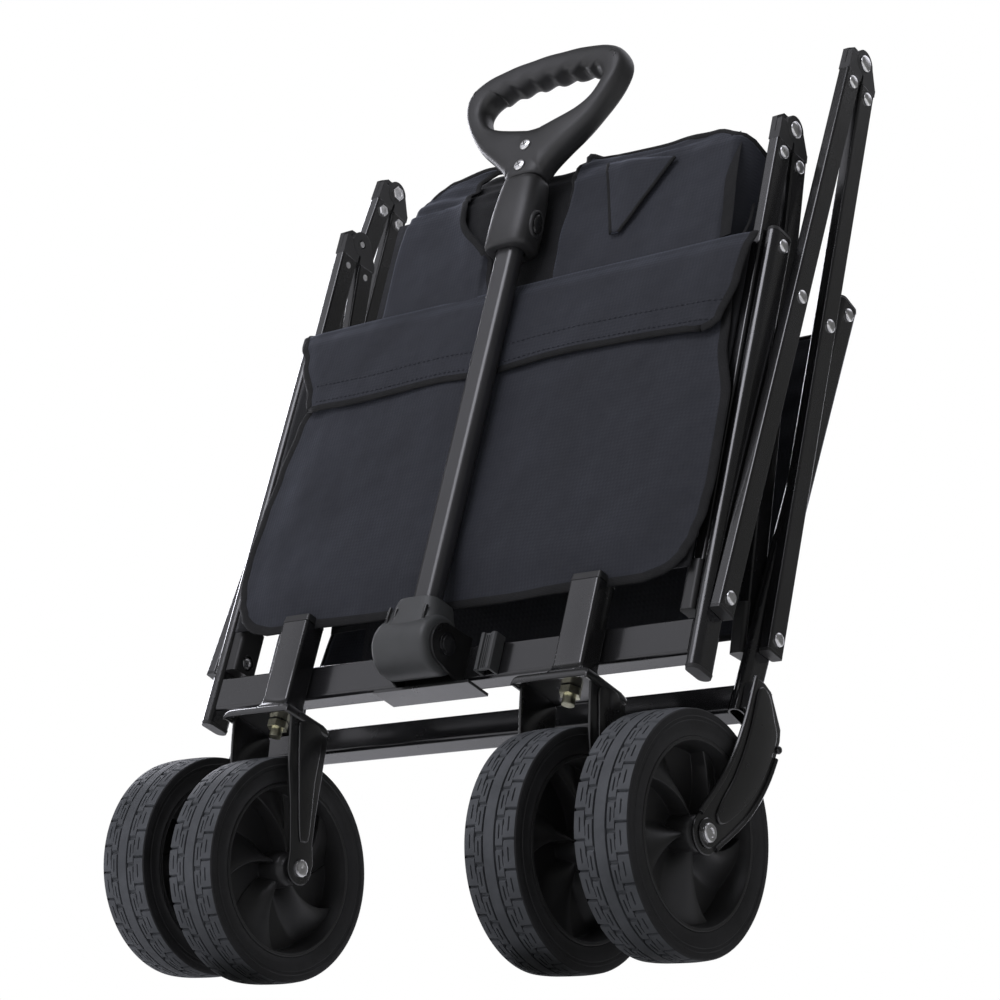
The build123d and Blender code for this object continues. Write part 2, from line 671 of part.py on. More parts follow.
CLIP_X = 56.0
CLIP_Z = 232.0
CLIP_HEIGHT = 32.0
CLIP_OUTSIDE = (16.0, 12.0)
CLIP_INSIDE = (11.0, 8.0)
with BuildPart() as clip:
    with BuildSketch(Plane((CLIP_X, bar_front, CLIP_Z))):
        with Locations((0, -CLIP_OUTSIDE[1] / 2)):
            Rectangle(*CLIP_OUTSIDE)
            Rectangle(*CLIP_INSIDE, mode=Mode.SUBTRACT)
        with Locations((0, -CLIP_OUTSIDE[1])):
            Rectangle(CLIP_INSIDE[0], CLIP_INSIDE[1] / 2, mode=Mode.SUBTRACT)
    extrude(amount=CLIP_HEIGHT)
save(clip, "parking_clip")

TUBE_X = 24.0
TUBE_Y = 17.0
TUBE_CORNER = 7.5
HANDLE_WALL = 1.2
TUBE_LIFT = 8.0  # from the pivot to the tube's lower end
HOUSING_SIZE = (44.0, 34.0)
HOUSING_CORNER = 8.0
UPPER_SIZE = (20.0, 13.0)
UPPER_CORNER = 5.7
UPPER_Z = (290.0, 730.0)
SLEEVE_LIP = 12.0  # of the sleeve closes round the upper tube
SLIP = 0.2  # round the sliding upper tube
housing_top = HANDLE_PIVOT_Z + 38.0
with BuildPart() as housing:
    with Locations(along_x(0, handle_pivot[0], handle_pivot[1])):
        Cylinder(BARREL_R, 2 * CHEEK_X - 1)
    with BuildSketch(Plane((0, handle_y, HANDLE_PIVOT_Z))):
        RectangleRounded(*HOUSING_SIZE, HOUSING_CORNER)
    extrude(amount=housing_top - HANDLE_PIVOT_Z)
    with BuildSketch(Plane((0, handle_y, HANDLE_PIVOT_Z + TUBE_LIFT))):
        RectangleRounded(TUBE_X + SLIDE_FIT, TUBE_Y + SLIDE_FIT, TUBE_CORNER)
    extrude(amount=60, mode=Mode.SUBTRACT)
    with Locations(along_x(0, handle_pivot[0], handle_pivot[1])):
        Cylinder(PIVOT_R + RUN, 4 * CHEEK_X, mode=Mode.SUBTRACT)
save(housing, "pivot_housing")

with BuildPart() as lower_tube:
    with BuildSketch(Plane((0, handle_y, HANDLE_PIVOT_Z + TUBE_LIFT))):
        RectangleRounded(TUBE_X, TUBE_Y, TUBE_CORNER)
        offset(amount=-HANDLE_WALL, mode=Mode.SUBTRACT)
    extrude(amount=SLEEVE_Z[1] - SLEEVE_LIP - HANDLE_PIVOT_Z - TUBE_LIFT)
save(lower_tube, "handle_lower_tube")

BUTTON_Z = 642.0
BUTTON_X = 18.0
BUTTON_LENGTH = 9.0
BUTTON_WIDTH = 10.4
BUTTON_DEPTH = 6.5
BUTTON_SLOT = 11.0
SLEEVE_CORNER = 11.0
sleeve_mid = (SLEEVE_Z[0] + SLEEVE_Z[1]) / 2
SLEEVE_SECTIONS = [(SLEEVE_Z[0], 44, 33), (sleeve_mid, 42, 32), (SLEEVE_Z[1], 39, 29)]
with BuildPart() as sleeve:
    for height, width, depth in SLEEVE_SECTIONS:
        with BuildSketch(Plane((0, handle_y, height))):
            RectangleRounded(width, depth, SLEEVE_CORNER)
    loft()
    with BuildSketch(Plane((0, handle_y, SLEEVE_Z[0] - 1))):
        RectangleRounded(TUBE_X + SLIDE_FIT, TUBE_Y + SLIDE_FIT, TUBE_CORNER)
    extrude(amount=SLEEVE_Z[1] - SLEEVE_LIP - SLEEVE_Z[0] + 1.02, mode=Mode.SUBTRACT)
    with BuildSketch(Plane((0, handle_y, SLEEVE_Z[1] - SLEEVE_LIP))):
        RectangleRounded(UPPER_SIZE[0] + 2 * SLIP, UPPER_SIZE[1] + 2 * SLIP, UPPER_CORNER + SLIP)
    extrude(amount=SLEEVE_LIP + 1, mode=Mode.SUBTRACT)
    with BuildSketch(Plane((BUTTON_X - 4, handle_y, BUTTON_Z), x_dir=(0, 1, 0), z_dir=(1, 0, 0))):
        SlotCenterToCenter(BUTTON_LENGTH, BUTTON_SLOT, rotation=90)
    extrude(amount=12, mode=Mode.SUBTRACT)
save(sleeve, "lock_sleeve")

with BuildPart() as button:
    with BuildSketch(Plane((BUTTON_X, handle_y, BUTTON_Z), x_dir=(0, 1, 0), z_dir=(1, 0, 0))):
        SlotCenterToCenter(BUTTON_LENGTH, BUTTON_WIDTH, rotation=90)
    extrude(amount=BUTTON_DEPTH)
save(button, "lock_button")

with BuildPart() as upper_tube:
    with BuildSketch(Plane((0, handle_y, UPPER_Z[0]))):
        RectangleRounded(*UPPER_SIZE, UPPER_CORNER)
        offset(amount=-HANDLE_WALL, mode=Mode.SUBTRACT)
    extrude(amount=UPPER_Z[1] - UPPER_Z[0])
save(upper_tube, "handle_upper_tube")

GRIP_DEPTH = 26.0
GRIP_LOW = SLEEVE_Z[1] + 0.5
NECK_HALF = 19.0
GRIP_SIDE = [(34, 712), (64, 740), (84, 775), (83, 799), (66, 814)]
GRIP_TOP = 822.0
HOLE_SIDE = [(44, 793), (62, 782), (52, 758)]
HOLE_Z = (744.0, 797.0)
SOCKET_DEPTH = 41.0
SCREW_Z = (700.0, 721.0)
SCREW_R = 5.2
SCREW_HEIGHT = 1.4


def mirrored(points):
    """The same points on the other side, in reverse order."""
    return [(-x, z) for x, z in reversed(points)]


with BuildPart() as grip:
    with BuildSketch(Plane((0, handle_y, 0), x_dir=(1, 0, 0), z_dir=(0, -1, 0))) as outline:
        with BuildLine():
            Line((-NECK_HALF, GRIP_LOW), (NECK_HALF, GRIP_LOW))
            Spline(
                (NECK_HALF, GRIP_LOW), *GRIP_SIDE, (0, GRIP_TOP), *mirrored(GRIP_SIDE),
                (-NECK_HALF, GRIP_LOW),
                tangents=[(0.1, 1), (0.1, -1)],
            )
        make_face()
        with BuildLine():
            Spline((0, HOLE_Z[1]), *HOLE_SIDE, (0, HOLE_Z[0]), *mirrored(HOLE_SIDE), periodic=True)
        make_face(mode=Mode.SUBTRACT)
    extrude(amount=GRIP_DEPTH / 2, both=True)
    with BuildSketch(Plane((0, handle_y, GRIP_LOW - 1))):
        RectangleRounded(UPPER_SIZE[0] + 0.1, UPPER_SIZE[1] + 0.1, UPPER_CORNER)
    extrude(amount=SOCKET_DEPTH, mode=Mode.SUBTRACT)
save(grip, "hand_grip")

with BuildPart() as grip_screws:
    for z in SCREW_Z:
        with Locations(Location((0, handle_y - GRIP_DEPTH / 2 - SCREW_HEIGHT / 2 - 0.1, z), (90, 0, 0))):
            Cylinder(SCREW_R, SCREW_HEIGHT)
save(grip_screws, "grip_screws")

# ---------------------------------------------------------------- fabric
PANEL_HALF = 232.0
PANEL_Z = (300.0, 592.0)
PANEL_THICK = 7.0
PANEL_OFFSET = 18.5  # from the posts' centres
POCKET_THICK = 5.0
POCKET_OFFSET = 24.6
POCKET_SIZE = (420.0, 200.0)
POCKET_Z = 410.0
FLAP_SIZE = (440.0, 80.0)
FLAP_Z = 552.0
REAR_PANEL_LOW = 22.0
REAR_PANEL_HEIGHT = 295.0
with BuildPart() as front_panel:
    with Locations((0, FRONT_Y - PANEL_OFFSET, sum(PANEL_Z) / 2)):
        Box(2 * PANEL_HALF, PANEL_THICK, PANEL_Z[1] - PANEL_Z[0])
save(front_panel, "front_panel")

with BuildPart() as front_pocket:
    with Locations((0, FRONT_Y - POCKET_OFFSET, POCKET_Z)):
        Box(POCKET_SIZE[0], POCKET_THICK, POCKET_SIZE[1])
    with Locations((0, FRONT_Y - POCKET_OFFSET, FLAP_Z)):
        Box(FLAP_SIZE[0], POCKET_THICK, FLAP_SIZE[1])
save(front_pocket, "front_pocket")

with BuildPart() as rear_panel:
    with BuildSketch(rear_plane(0, PANEL_OFFSET, REAR_PANEL_LOW)):
        Rectangle(2 * PANEL_HALF, PANEL_THICK)
    extrude(amount=REAR_PANEL_HEIGHT)
save(rear_panel, "rear_panel")


def make_slab(label, rail, half, near, far, start, stop):
    """A thin soft slab beside a rail's centre line, between distances along the rail."""
    with BuildPart() as slab:
        plane = rail.section(0, start)
        with BuildSketch(plane):
            with Locations((0, -rail.side * (near + far) / 2)):
                Rectangle(2 * half, abs(far - near))
        extrude(amount=stop - start)
    save(slab, label)


BOARD_HALF = 165.0
BOARD_FACES = (5.0, 10.0)
BOARD_ALONG = (26.0, 424.0)
FOLD_HALF = 214.0
FRONT_FOLD_FACES = (10.5, 14.5)
FRONT_FOLD_ALONG = (330.0, 425.0)
REAR_FOLD_FACES = (11.0, 17.0)
REAR_FOLD_ALONG = (60.0, 350.0)
make_slab("floor_board_front", floor_front, BOARD_HALF, *BOARD_FACES, *BOARD_ALONG)
make_slab("floor_board_rear", floor_rear, BOARD_HALF, *BOARD_FACES, *BOARD_ALONG)
make_slab("folded_fabric_front", floor_front, FOLD_HALF, *FRONT_FOLD_FACES, *FRONT_FOLD_ALONG)
make_slab("folded_fabric_rear", floor_rear, FOLD_HALF, *REAR_FOLD_FACES, *REAR_FOLD_ALONG)
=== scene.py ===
from math import atan2, cos, hypot, pi, radians, sin, asin, sqrt

import bmesh
import bpy
from mathutils import Matrix, Vector, noise


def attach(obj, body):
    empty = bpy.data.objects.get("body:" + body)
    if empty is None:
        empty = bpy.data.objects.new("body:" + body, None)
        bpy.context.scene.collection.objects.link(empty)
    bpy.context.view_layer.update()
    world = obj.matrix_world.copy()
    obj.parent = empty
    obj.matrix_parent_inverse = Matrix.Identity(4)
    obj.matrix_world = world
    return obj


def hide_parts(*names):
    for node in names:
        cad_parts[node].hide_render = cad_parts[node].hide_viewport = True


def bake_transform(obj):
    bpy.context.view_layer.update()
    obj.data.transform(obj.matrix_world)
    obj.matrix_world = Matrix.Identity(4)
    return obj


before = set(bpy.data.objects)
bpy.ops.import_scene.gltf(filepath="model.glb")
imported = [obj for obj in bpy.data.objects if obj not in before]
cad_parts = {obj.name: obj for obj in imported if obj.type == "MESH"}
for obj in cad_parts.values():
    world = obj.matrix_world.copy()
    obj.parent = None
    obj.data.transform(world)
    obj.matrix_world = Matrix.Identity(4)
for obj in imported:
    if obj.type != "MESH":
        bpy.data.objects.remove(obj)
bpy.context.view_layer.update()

# ---------------------------------------------------------------- dimensions, mm
MM = 0.001
FRONT_Y = -22.44
POST_X = 245.0
POST_HALF = 6.0
FLOOR_X = 233.5
OUTER_X = 256.5
PIVOT_Z = 278.0
REAR_PIVOT = (68.0, 277.0)
REAR_LEAN = radians(6.34)
FLOOR_HINGE = (5.0, 710.0)
OUTER_HINGE = (52.0, 805.0)
RAIL_DEPTH = 20.0
KNUCKLE_BOLT_DROP = 29.0
MID_BOLT_AT = 277.0
WHEEL_R = 90.0
RIM_R = 69.0
CASTER_X = 148.0
CASTER_STEM_Y = -21.0
CASTER_AXLE = (10.0, 90.0)
FORK_HALF = 33.2
REAR_WHEEL_X = 235.5
REAR_AXLE = (19.0, 101.0)
HANDLE_Y = -38.0
HANDLE_PIVOT_Z = 248.0
SIDES = (("left", -1), ("right", 1))
SQUARE = ((-1, -1), (1, -1), (1, 1), (-1, 1))


def at(x, y, z):
    """A point in metres; y is counted in mm from the plane of the front posts."""
    return Vector((x * MM, (y + FRONT_Y) * MM, z * MM))


def smooth(t):
    t = min(max(t, 0.0), 1.0)
    return t * t * (3 - 2 * t)


def mix(a, b, t):
    return a + (b - a) * t


def table(points, t):
    """Value at t of a list of (t, value) pairs, smoothly joined."""
    if t <= points[0][0]:
        return points[0][1]
    for (ta, va), (tb, vb) in zip(points, points[1:]):
        if t <= tb:
            return mix(va, vb, smooth((t - ta) / (tb - ta)))
    return points[-1][1]


def spline(a, b, c, d, t):
    """Catmull-Rom value between b and c."""
    return 0.5 * (2 * b + (c - a) * t + (2 * a - 5 * b + 4 * c - d) * t**2 + (3 * b - a - 3 * c + d) * t**3)


def catmull(points, steps, closed=False):
    """Points along a smooth curve through the given ones."""
    n = len(points)
    out = []
    spans = n if closed else n - 1
    for i in range(spans):
        if closed:
            p0, p1, p2, p3 = (points[(i + k - 1) % n] for k in range(4))
        else:
            p0, p1, p2, p3 = (points[min(max(i + k - 1, 0), n - 1)] for k in range(4))
        for s in range(steps):
            out.append(tuple(spline(*four, s / steps) for four in zip(p0, p1, p2, p3)))
    if not closed:
        out.append(tuple(points[-1]))
    return out


# ---------------------------------------------------------------- materials
class Maker:
    """Builds one node material."""

    def __init__(self, name):
        self.mat = bpy.data.materials.new(name)
        self.mat.use_nodes = True
        self.tree = self.mat.node_tree
        self.shader = self.tree.nodes["Principled BSDF"]
        coord = self.node("ShaderNodeTexCoord")
        self.coord = coord.outputs["Object"]
        self.normal = None

    def node(self, kind, **inputs):
        n = self.tree.nodes.new(kind)
        for key, value in inputs.items():
            n.inputs[key.replace("_", " ")].default_value = value
        return n

    def link(self, a, b):
        self.tree.links.new(a, b)

    def noise(self, scale, detail=3.0, rough=0.5):
        n = self.node("ShaderNodeTexNoise", Scale=scale, Detail=detail, Roughness=rough)
        self.link(self.coord, n.inputs["Vector"])
        return n.outputs["Fac"]

    def ramp(self, fac, low, high, a=0.35, b=0.65):
        """A ramp from colour low to colour high between a and b."""
        r = self.node("ShaderNodeValToRGB")
        r.color_ramp.elements[0].position = a
        r.color_ramp.elements[1].position = b
        r.color_ramp.elements[0].color = (*low, 1)
        r.color_ramp.elements[1].color = (*high, 1)
        self.link(fac, r.inputs["Fac"])
        return r.outputs["Color"]

    def rough(self, fac, low, high):
        m = self.node("ShaderNodeMapRange")
        m.inputs["To Min"].default_value = low
        m.inputs["To Max"].default_value = high
        self.link(fac, m.inputs["Value"])
        self.link(m.outputs["Result"], self.shader.inputs["Roughness"])

    def bump(self, height, strength, distance):
        b = self.node("ShaderNodeBump", Strength=strength, Distance=distance)
        self.link(height, b.inputs["Height"])
        if self.normal:
            self.link(self.normal, b.inputs["Normal"])
        self.normal = b.outputs["Normal"]
        self.link(self.normal, self.shader.inputs["Normal"])

    def soften(self, radius):
        """Rounds sharp edges in shading."""
        b = self.node("ShaderNodeBevel", Radius=radius)
        b.samples = 4
        self.normal = b.outputs["Normal"]
        self.link(self.normal, self.shader.inputs["Normal"])

    def wave(self, direction, scale):
        w = self.node("ShaderNodeTexWave", Scale=scale, Distortion=0.4)
        w.inputs["Detail Scale"].default_value = 3.0
        w.bands_direction = direction
        self.link(self.coord, w.inputs["Vector"])
        return w.outputs["Fac"]

    def math(self, operation, a, b):
        m = self.node("ShaderNodeMath")
        m.operation = operation
        for socket, value in zip(m.inputs, (a, b)):
            if isinstance(value, float):
                socket.default_value = value
            else:
                self.link(value, socket)
        return m.outputs["Value"]

    def surface(self, colour_noise, dark, light, rough_noise, low, high):
        """Colour and roughness, each varied by its own noise."""
        self.link(self.ramp(self.noise(*colour_noise), dark, light), self.shader.inputs["Base Color"])
        self.rough(self.noise(*rough_noise), low, high)

    def set(self, **values):
        for key, value in values.items():
            self.shader.inputs[key.replace("_", " ")].default_value = value


def steel(name, dark, light, rough_low, rough_high, coat, peel=0.08, edge=0.0007):
    """Baked black paint: faint orange peel, dusty variation and a clear gloss."""
    m = Maker(name)
    m.soften(edge)
    m.surface((14.0, 4.0), dark, light, (38.0, 5.0, 0.65), rough_low, rough_high)
    m.bump(m.noise(900.0, 2.0), peel, 0.0001)
    m.set(Coat_Weight=coat, Coat_Roughness=0.12, Specular_IOR_Level=0.5)
    return m.mat


def plastic(name, dark, light, rough_low, rough_high, grain=0.25, grain_scale=1500.0, edge=0.0006):
    """Moulded plastic with a fine spark-eroded grain."""
    m = Maker(name)
    m.soften(edge)
    m.surface((22.0, 4.0), dark, light, (60.0, 5.0, 0.7), rough_low, rough_high)
    m.bump(m.noise(grain_scale, 2.0), grain, 0.00012)
    return m.mat


def cloth(name, dark, light, weave_scale=95.0, weave=0.5, sheen=0.25):
    """Woven polyester: crossing threads, slubs and a soft sheen."""
    m = Maker(name)
    m.link(m.ramp(m.noise(9.0, 5.0, 0.6), dark, light, 0.3, 0.7), m.shader.inputs["Base Color"])
    threads = m.math("MULTIPLY", m.wave("X", weave_scale), m.wave("Z", weave_scale))
    m.bump(threads, weave, 0.0003)
    m.bump(m.noise(420.0, 3.0, 0.7), 0.22, 0.0003)
    m.bump(m.noise(45.0, 4.0, 0.6), 0.25, 0.0012)
    m.bump(m.noise(12.0, 2.5, 0.5), 0.8, 0.012)
    m.rough(m.noise(120.0, 4.0), 0.72, 0.9)
    m.set(Sheen_Weight=sheen, Sheen_Roughness=0.45, Specular_IOR_Level=0.35)
    m.shader.inputs["Sheen Tint"].default_value = (0.55, 0.6, 0.75, 1)
    return m.mat


def zinc(name, dark, light, low, high):
    """Zinc plate: spangled, lightly brushed."""
    m = Maker(name)
    m.soften(0.0003)
    m.surface((260.0, 4.0, 0.7), dark, light, (500.0, 3.0), low, high)
    m.bump(m.noise(700.0, 2.0), 0.15, 0.0001)
    m.set(Metallic=1.0)
    return m.mat


def rubber(name, dark, light, low, high):
    """Matte rubber with mould bloom."""
    m = Maker(name)
    m.surface((30.0, 5.0, 0.65), dark, light, (90.0, 4.0), low, high)
    m.bump(m.noise(1300.0, 3.0), 0.3, 0.00015)
    m.bump(m.noise(140.0, 3.0), 0.1, 0.0004)
    m.set(Specular_IOR_Level=0.35)
    return m.mat


def grey(v, blue=0.0):
    return (v, v, v + blue)


black_steel = steel("black_gloss_paint", grey(0.006), grey(0.011, 0.001), 0.2, 0.32, 0.6)
pressed_steel = steel("pressed_gloss_paint", grey(0.007), grey(0.013), 0.22, 0.36, 0.5, 0.12, 0.0009)
satin_steel = steel("satin_tube_paint", grey(0.02, 0.001), grey(0.028, 0.002), 0.28, 0.38, 0.3)
zinc_white = zinc("zinc_white", grey(0.62), grey(0.86), 0.22, 0.38)
zinc_gold = zinc("zinc_yellow", (0.62, 0.6, 0.44), (0.86, 0.85, 0.64), 0.25, 0.4)
tread_rubber = rubber("tread_rubber", (0.064, 0.068, 0.073), (0.092, 0.097, 0.104), 0.6, 0.78)
wall_rubber = rubber("sidewall_rubber", grey(0.012), grey(0.019, 0.001), 0.5, 0.66)
rim_plastic = plastic("rim_plastic", grey(0.015), grey(0.022), 0.36, 0.5, 0.08, 700.0)
hinge_plastic = plastic("hinge_plastic", grey(0.014), grey(0.022), 0.4, 0.55)
end_plastic = plastic("end_plastic", grey(0.012), grey(0.018), 0.34, 0.5, 0.15)
HANDLE_DARK, HANDLE_LIGHT = (0.04, 0.042, 0.042), (0.056, 0.058, 0.058)
handle_plastic = plastic("handle_plastic", HANDLE_DARK, HANDLE_LIGHT, 0.42, 0.58, 0.3, 1200.0)
grip_plastic = plastic("grip_plastic", grey(0.016), grey(0.026, 0.001), 0.4, 0.56, 0.35, 1100.0)
button_plastic = plastic("button_plastic", grey(0.01), grey(0.015), 0.2, 0.32, 0.05)
panel_cloth = cloth("oxford_cloth", (0.0125, 0.0135, 0.018), (0.019, 0.0205, 0.027))
# Near-black cloth, painted shade: kept well below the panel cloth to stand for the shade that the front wall, the
# gathered cloth and the slack lining lie in.
shade_dark_cloth = cloth("painted_shade_cloth", (0.003, 0.0032, 0.004), (0.006, 0.0063, 0.0075), 120.0, 0.35, 0.02)
binding_cloth = cloth("binding_tape", (0.003, 0.003, 0.0033), (0.0055, 0.0055, 0.006), 240.0, 0.7, 0.02)
mesh_cloth = cloth("board_cloth", (0.01, 0.0105, 0.012), (0.016, 0.0165, 0.019), 70.0, 0.7, 0.15)
thread = cloth("thread", (0.014, 0.0145, 0.018), (0.026, 0.027, 0.033), 300.0, 0.6, 0.2)


# ---------------------------------------------------------------- mesh helpers
class Mesh:
    """Vertices and faces being gathered for one piece, in metres."""

    def __init__(self):
        self.verts = []
        self.faces = []
        self.tags = []

    def rows(self, rows, wrap_rows=False, wrap_cols=False, caps=False, tag=0, flip=False):
        """A grid of quads over equal rows of points."""
        base = len(self.verts)
        count = len(rows)
        width = len(rows[0])
        for row in rows:
            self.verts.extend(row)
        for i in range(count if wrap_rows else count - 1):
            for j in range(width if wrap_cols else width - 1):
                a = base + i * width + j
                b = base + i * width + (j + 1) % width
                c = base + ((i + 1) % count) * width + (j + 1) % width
                d = base + ((i + 1) % count) * width + j
                self.faces.append((a, d, c, b) if flip else (a, b, c, d))
                self.tags.append(tag)
        if caps:
            for i in (0, count - 1):
                ring = [base + i * width + j for j in range(width)]
                self.faces.append(tuple(ring if (i == 0) != flip else reversed(ring)))
                self.tags.append(tag)

    def lathe(self, profile, centre, out, segs=32, tag=0, closed=False):
        """A profile of (distance along X outwards, radius) in mm turned about an X axis through centre."""
        rows = []
        x, y, z = centre
        for k in range(segs):
            a = 2 * pi * k / segs
            rows.append([at(x + out * d, y + r * cos(a), z + r * sin(a)) for d, r in profile])
        self.rows(rows, wrap_rows=True, wrap_cols=closed, tag=tag, flip=out < 0)

    def tube(self, path, width, height, normal, sides=10, closed=False, tag=0):
        """An oval strand along a path of points, with its height along the given normal."""
        rows = []
        n = len(path)
        normal = Vector(normal)
        turns = [2 * pi * k / sides for k in range(sides)]
        for i, p in enumerate(path):
            before = path[(i - 1) % n] if closed or i else path[i]
            after = path[(i + 1) % n] if closed or i < n - 1 else path[i]
            along = (after - before).normalized()
            side = along.cross(normal).normalized()
            up = side.cross(along)
            rows.append([p + side * (width / 2 * cos(a)) + up * (height / 2 * sin(a)) for a in turns])
        self.rows(rows, wrap_rows=closed, wrap_cols=True, caps=not closed, tag=tag)

    def build(self, name, mats, body=None, replaces=(), angle=35, bevel=0, subsurf=0, weld=False):
        me = bpy.data.meshes.new(name)
        me.from_pydata([tuple(v) for v in self.verts], [], self.faces)
        for m in mats:
            me.materials.append(m)
        for poly, tag in zip(me.polygons, self.tags):
            poly.material_index = tag
        bm = bmesh.new()
        bm.from_mesh(me)
        if weld:
            bmesh.ops.remove_doubles(bm, verts=bm.verts, dist=1e-5)
        bmesh.ops.recalc_face_normals(bm, faces=bm.faces)
        bm.to_mesh(me)
        bm.free()
        return dress(bpy.data.objects.new(name, me), body, replaces, angle, bevel, subsurf)


def dress(obj, body, replaces, angle=35, bevel=0, subsurf=0):
    """Shading, modifiers and frame links that every piece gets."""
    bpy.context.scene.collection.objects.link(obj)
    if bevel:
        b = obj.modifiers.new("bevel", "BEVEL")
        b.width = bevel * MM
        b.segments = 3
        b.limit_method = "ANGLE"
        b.angle_limit = radians(30)
    if subsurf:
        s = obj.modifiers.new("subdivision", "SUBSURF")
        s.levels = subsurf
        s.render_levels = subsurf
    obj.data.shade_smooth()
    if angle < 180:
        obj.data.set_sharp_from_angle(angle=radians(angle))
    if body:
        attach(obj, body)
    if replaces:
        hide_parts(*replaces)
    return obj


def plate(x, outline, side):
    """The face of a sheet-metal plate at x, from its outline of (y, z), facing side."""
    bm = bmesh.new()
    face = bm.faces.new([bm.verts.new(at(x, y, z)) for y, z in outline])
    face.normal_update()
    if face.normal.x * side < 0:
        face.normal_flip()
    return bm


def sheet_metal(name, bm, thickness, mat, body, replaces, bevel=0.7):
    me = bpy.data.meshes.new(name)
    bm.to_mesh(me)
    bm.free()
    me.materials.append(mat)
    obj = bpy.data.objects.new(name, me)
    s = obj.modifiers.new("sheet", "SOLIDIFY")
    s.thickness = thickness * MM
    s.offset = -1
    return dress(obj, body, replaces, 35, bevel)


def paint(node, mat):
    """Gives a kept CAD node its finished material."""
    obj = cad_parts[node]
    for slot in obj.material_slots:
        slot.material = mat


# ---------------------------------------------------------------- kept metal and plastic
for mat, nodes in (
    (black_steel, "front_posts rear_posts front_crossbar rear_crossbar handle_pivot_bolt"),
    (black_steel, "floor_rails_front floor_rails_rear outer_rails_front outer_rails_rear"),
    (hinge_plastic, "floor_knuckles_front floor_knuckles_rear outer_knuckles_front outer_knuckles_rear"),
    (end_plastic, "floor_shoes_front floor_shoes_rear outer_plugs_front outer_plugs_rear"),
    (end_plastic, "front_post_ends rear_post_caps caster_stem_caps"),
    (zinc_gold, "caster_kingpins"),
    (satin_steel, "handle_lower_tube handle_upper_tube"),
    (pressed_steel, "handle_bracket"),
):
    for node in nodes.split():
        paint(node, mat)


# ---------------------------------------------------------------- rails' geometry
class Rail:
    """The line of a folding rail, as offsets from the post plane."""

    def __init__(self, foot, pin, side):
        reach = hypot(pin[0] - foot[0], pin[1] - foot[1])
        offset = RAIL_DEPTH / 2 + 0.5
        angle = atan2(pin[0] - foot[0], pin[1] - foot[1]) - side * asin(offset / reach)
        self.foot = foot
        self.pin = pin
        self.up = (sin(angle), cos(angle))
        self.length = sqrt(reach**2 - offset**2)

    def at(self, d):
        return (self.foot[0] + d * self.up[0], self.foot[1] + d * self.up[1])


floor_front = Rail((0.0, PIVOT_Z), FLOOR_HINGE, 1)
floor_rear = Rail(REAR_PIVOT, FLOOR_HINGE, -1)
outer_front = Rail((0.0, PIVOT_Z), OUTER_HINGE, 1)
outer_rear = Rail(REAR_PIVOT, OUTER_HINGE, -1)


def rear_point(y, z):
    """A point of the rear frame from its pivot: y back, z up along the leaning posts."""
    return (
        REAR_PIVOT[0] + y * cos(REAR_LEAN) + z * sin(REAR_LEAN),
        REAR_PIVOT[1] - y * sin(REAR_LEAN) + z * cos(REAR_LEAN),
    )


# ---------------------------------------------------------------- bolts
def bolt_head(mesh, x, out, point, radius):
    """A pan head with a soft shoulder and a shallow flat top."""
    y, z = point
    profile = [(0, radius * 0.2), (0, radius), (0.5, radius * 1.0), (1.2, radius * 0.95), (1.9, radius * 0.8)]
    profile += [(2.3, radius * 0.58), (2.5, radius * 0.32), (2.55, 0.05)]
    mesh.lathe(profile, (x + out * 0.2, y, z), out, 24)


def bolt_end(mesh, x, out, point, radius):
    """A hollow hexagon nut with the bolt's end inside."""
    y, z = point
    x0 = x + out * 0.2
    rows = []
    for d, r, r_in in ((0, 1.0, 0), (1.7, 1.0, 0), (2.2, 0.93, 0), (2.2, 0.62, 1), (1.2, 0.56, 1)):
        row = []
        for k in range(24):
            a = 2 * pi * k / 24
            flat = cos(pi / 6) / cos((a % (pi / 3)) - pi / 6)
            rr = radius * r * (1.0 if r_in else flat)
            row.append(at(x0 + out * d, y + rr * cos(a), z + rr * sin(a)))
        rows.append(row)
    mesh.rows(rows, wrap_cols=True, caps=True)


def bolts(name, rows, body, replaces, mat=zinc_white):
    mesh = Mesh()
    for inner, outer, point, radius, nut in rows:
        out = 1 if outer > inner else -1
        bolt_head(mesh, outer, out, point, radius)
        if nut:
            bolt_end(mesh, inner, -out, point, radius)
        y, z = point
        shank = [(0, 0.05), (0, 2.9), (abs(outer - inner), 2.9), (abs(outer - inner), 0.05)]
        mesh.lathe(shank, (inner, y, z), out, 16)
    return mesh.build(name, [mat], body, replaces, weld=True)


HEAD_R = 5.6
for prefix, place, rail, x, body in (
    ("floor", "front", floor_front, FLOOR_X, "floor_front"),
    ("floor", "rear", floor_rear, FLOOR_X, "floor_rear"),
    ("outer", "front", outer_front, OUTER_X, "outer_front"),
    ("outer", "rear", outer_rear, OUTER_X, "outer_rear"),
):
    rows = []
    outer = prefix == "outer"
    for name, s in SIDES:
        faces = (s * (x - 5), s * (x + 5))
        rows.append((*faces, rail.at(rail.length - KNUCKLE_BOLT_DROP), HEAD_R, outer))
        if outer:
            rows.append((*faces, rail.at(MID_BOLT_AT), HEAD_R, True))
        if outer and place == "rear":
            rows.append((*faces, rail.foot, HEAD_R, False))
        if place == "front":
            rows.append((*faces, rail.pin, HEAD_R + 1.6, outer))
    bolts(f"{prefix}_bolt_heads_{place}", rows, body, [f"{prefix}_bolts_{place}"])

front_rows = []
rear_rows = []
for name, s in SIDES:
    front_rows.append((s * 228.5, s * 261.5, (0.0, PIVOT_Z), HEAD_R, True))
    post = (s * (POST_X - POST_HALF), s * (POST_X + POST_HALF))
    front_rows.append((*post, (0.0, 590.0), HEAD_R, False))
    rear_rows.append((*post, rear_point(0, 315.0), HEAD_R, False))
    rear_rows.append((s * 249.5, s * 228.5, REAR_PIVOT, HEAD_R, False))
bolts("front_frame_bolt_heads", front_rows, "front_frame", ["front_frame_bolts"])
bolts("rear_frame_bolt_heads", rear_rows, "rear_frame", ["rear_frame_bolts"])


